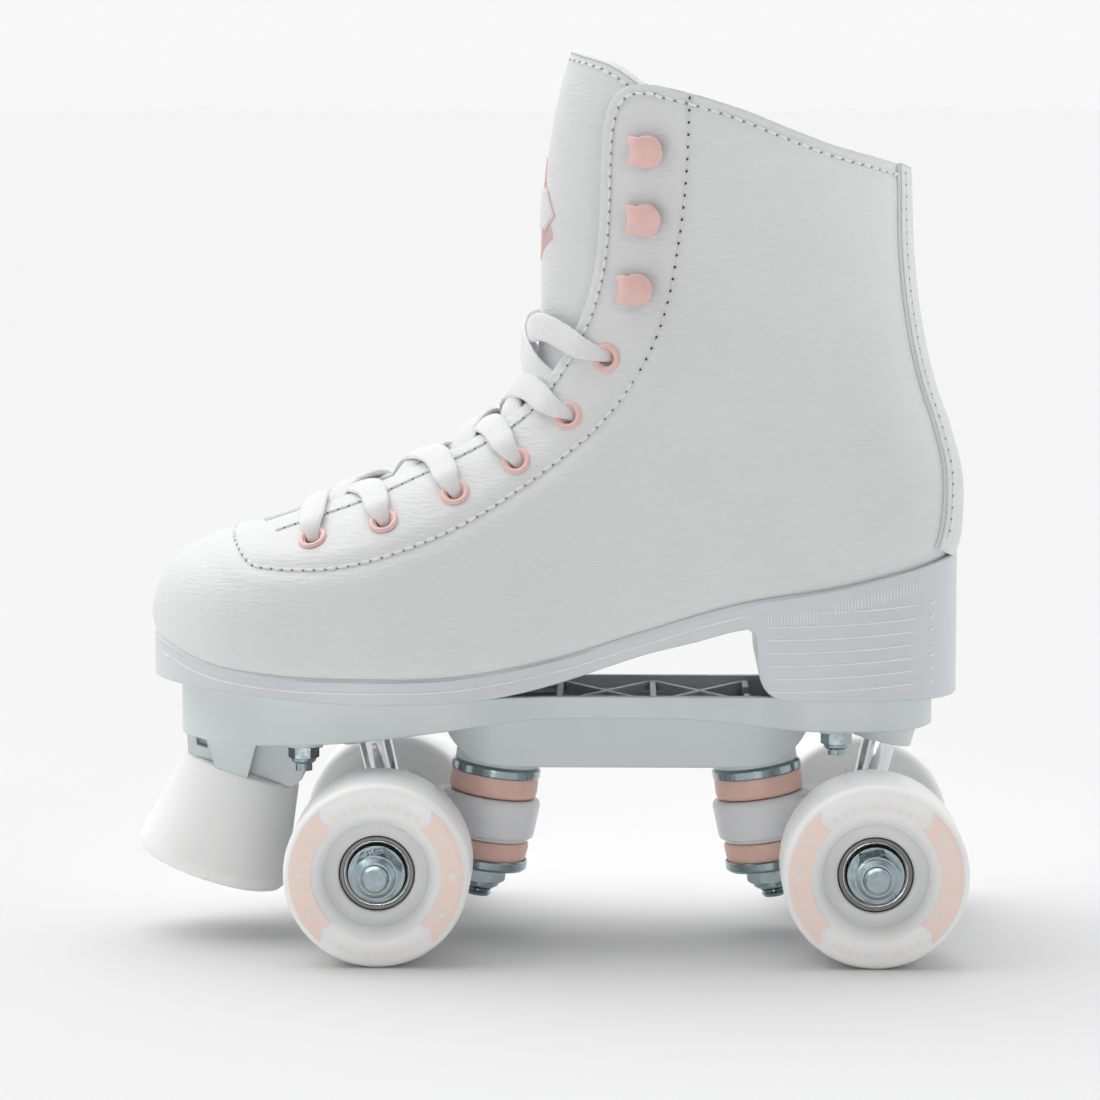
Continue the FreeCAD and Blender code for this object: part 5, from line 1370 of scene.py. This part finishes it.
def make_sole_lines():
    """Fine raised lines on the sole: one along its edge, ribs on the heel block and a fringe of ticks,
    painted lighter than the sole as a painted highlight on their ridges.
    """
    tree = mesh_tree("sole_unit")
    verts, faces = [], []
    for side in SIDES.values():
        x = np.linspace(-139.0, 36.0, 160)
        thin_bead(verts, faces, tree, np.column_stack([x, sole_top(x) - 3.3]), side, 0.3, 0.0)
        for row in range(7):
            x = np.linspace(RIB_START if row < 6 else SHORT_RIB_START, RIB_END, 60)
            share = (x - RIB_START) / (RIB_END - RIB_START)
            z = RIB_LOW + RIB_PITCH * row + 2.3 * share ** 2
            thin_bead(verts, faces, tree, np.column_stack([x, z]), side, 0.26, 0.02)
            x = np.linspace(88.6, 90.4, 6)
            z = 79.3 + RIB_PITCH * row + 0.35 * (x - 88.6)
            thin_bead(verts, faces, tree, np.column_stack([x, z]), side, 0.45, 0.0)
        for x0 in np.concatenate([np.arange(40.4, 56.5, 0.95), np.arange(61.0, 86.5, 0.95)]):
            top = sole_top(x0) - 3.2 - 1.6 * math.exp(-((x0 - 52.0) / 9.0) ** 2)
            z = np.linspace(top - 4.0, top, 8)
            thin_bead(verts, faces, tree, np.column_stack([np.full(8, x0), z]), side, 0.22, 0.0)
    lines = new_object("sole_lines", verts, faces)
    face_outwards(lines)
    # Lighter than the sole: a painted highlight along the beads.
    lines.data.materials.append(SOLE_RIDGE_HIGHLIGHT)
    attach(lines, "chassis")


make_sole_lines()


def make_cup_edge():
    """Rounded lip where the sole's cup meets the leather."""
    line = SOLE_TOP[(SOLE_TOP[:, 0] > -141.0) & (SOLE_TOP[:, 0] < 97.0)]
    v, angle = locate(line[:, 0], line[:, 1] + 0.1)
    radius, sides = 0.9, 10
    verts = []
    turns = [mirrored(angle, side) for side in SIDES.values()]
    lift = np.interp(line[:, 0], [-20.0, 30.0, 64.0, 84.0], [0.1, 0.5, 0.6, 0.95])
    lift = np.concatenate([lift, lift[::-1]])
    v = np.concatenate([v, v[::-1]])
    angle = np.concatenate([turns[0], turns[1][::-1]])
    places = surface(v, angle, lift)
    outs = normals(v, angle)
    steps = np.roll(places, -1, axis=0) - np.roll(places, 1, axis=0)
    steps /= np.linalg.norm(steps, axis=1, keepdims=True)
    for k, place in enumerate(places):
        across = np.cross(outs[k], steps[k])
        across /= np.linalg.norm(across)
        verts += [place + radius * (outs[k] * math.sin(turn) + across * math.cos(turn))
                  for turn in full_turn(sides)]
    lip = new_object("cup_edge", verts, ring_faces(len(places), sides))
    face_outwards(lip)
    lip.data.materials.append(WHITE_SOLE)
    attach(lip, "chassis")


make_cup_edge()

# ------------------------------------------------------------------ tongue badge

BADGE_MIDDLE = 217.5
BADGE_HALF_HEIGHT = 16.5
BADGE_HALF_WIDTH = 11.0


def on_tongue(across, height, proud):
    """Place on the tongue's front, by distance from the middle and by height."""
    rows = STATIONS[:, 1]
    v = np.interp(height, rows, np.arange(len(rows)))
    turn = FRONT - across / station(v)[..., 4]
    lift = TONGUE_LIFT + proud
    return surface(v, turn, lift), normals(v, turn)


def make_badge():
    """Woven badge: slanting stripes in a diamond, with a blank plate across its middle."""
    marks = []
    for height in np.arange(-BADGE_HALF_HEIGHT, BADGE_HALF_HEIGHT, 0.95):
        for hand in (-1, 1):
            reach = BADGE_HALF_WIDTH * (1 - abs(height) / BADGE_HALF_HEIGHT)
            if reach < 0.8:
                continue
            for part in range(4):
                a, b = reach * part / 4, reach * (part + 1) / 4
                low, _ = on_tongue(hand * a, BADGE_MIDDLE + height - 0.6 * a, 0.12)
                high, out = on_tongue(hand * b, BADGE_MIDDLE + height - 0.6 * b, 0.12)
                along = high - low
                size = np.linalg.norm(along)
                marks.append(((low + high) / 2, along / size, out, size * 1.12))
    verts, faces = [], []
    for place, along, up, length in marks:
        across = np.cross(up, along)
        start = len(verts)
        for at, size in ((-0.5, 0.7), (-0.2, 1.0), (0.2, 1.0), (0.5, 0.7)):
            for turn in full_turn(THREAD_SIDES):
                verts.append(place + along * (at * length)
                             + (across * math.cos(turn) + up * math.sin(turn)) * size * 0.17)
        faces += grid_faces(4, THREAD_SIDES, start, closed=True)
    stripes = new_object("badge_stripes", verts, faces)
    face_outwards(stripes)
    stripes.data.materials.append(PINK_THREAD)
    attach(stripes, "chassis")
    plate("badge_plate", 6.0, 11.2, 0.15, 0.8, WHITE_LEATHER)
    plate("badge_border", 6.2, 11.5, 0.05, 0.45, PINK_THREAD)


def plate(name, half_height, half_width, low, high, paint):
    """Six-sided plate bent round the tongue, pointed at its two sides."""
    verts, faces = [], []
    rows, columns = 13, 25
    for proud, grow in ((low, 1.0), (0.6 * high, 1.0), (high, 0.96)):
        start = len(verts)
        for j in range(rows):
            up = (2 * j / (rows - 1) - 1) * half_height * grow
            reach = half_width * grow * (1 - 0.42 * abs(up) / (half_height * grow))
            for i in range(columns):
                place, _ = on_tongue((2 * i / (columns - 1) - 1) * reach, BADGE_MIDDLE + up, proud)
                verts.append(place)
    top = 2 * rows * columns
    faces += grid_faces(rows, columns, top)
    border = ([j * columns for j in range(rows)] + [(rows - 1) * columns + i for i in range(1, columns)]
              + [j * columns + columns - 1 for j in range(rows - 2, -1, -1)]
              + list(range(columns - 2, 0, -1)))
    for layer in range(2):
        a, b = layer * rows * columns, (layer + 1) * rows * columns
        for k, corner in enumerate(border):
            other = border[(k + 1) % len(border)]
            faces.append((a + corner, a + other, b + other, b + corner))
    obj = new_object(name, verts, faces)
    face_outwards(obj)
    obj.data.materials.append(paint)
    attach(obj, "chassis")


make_badge()


def finish_scene():
    """Bring the scene's transforms up to date."""
    bpy.context.view_layer.update()


finish_scene()
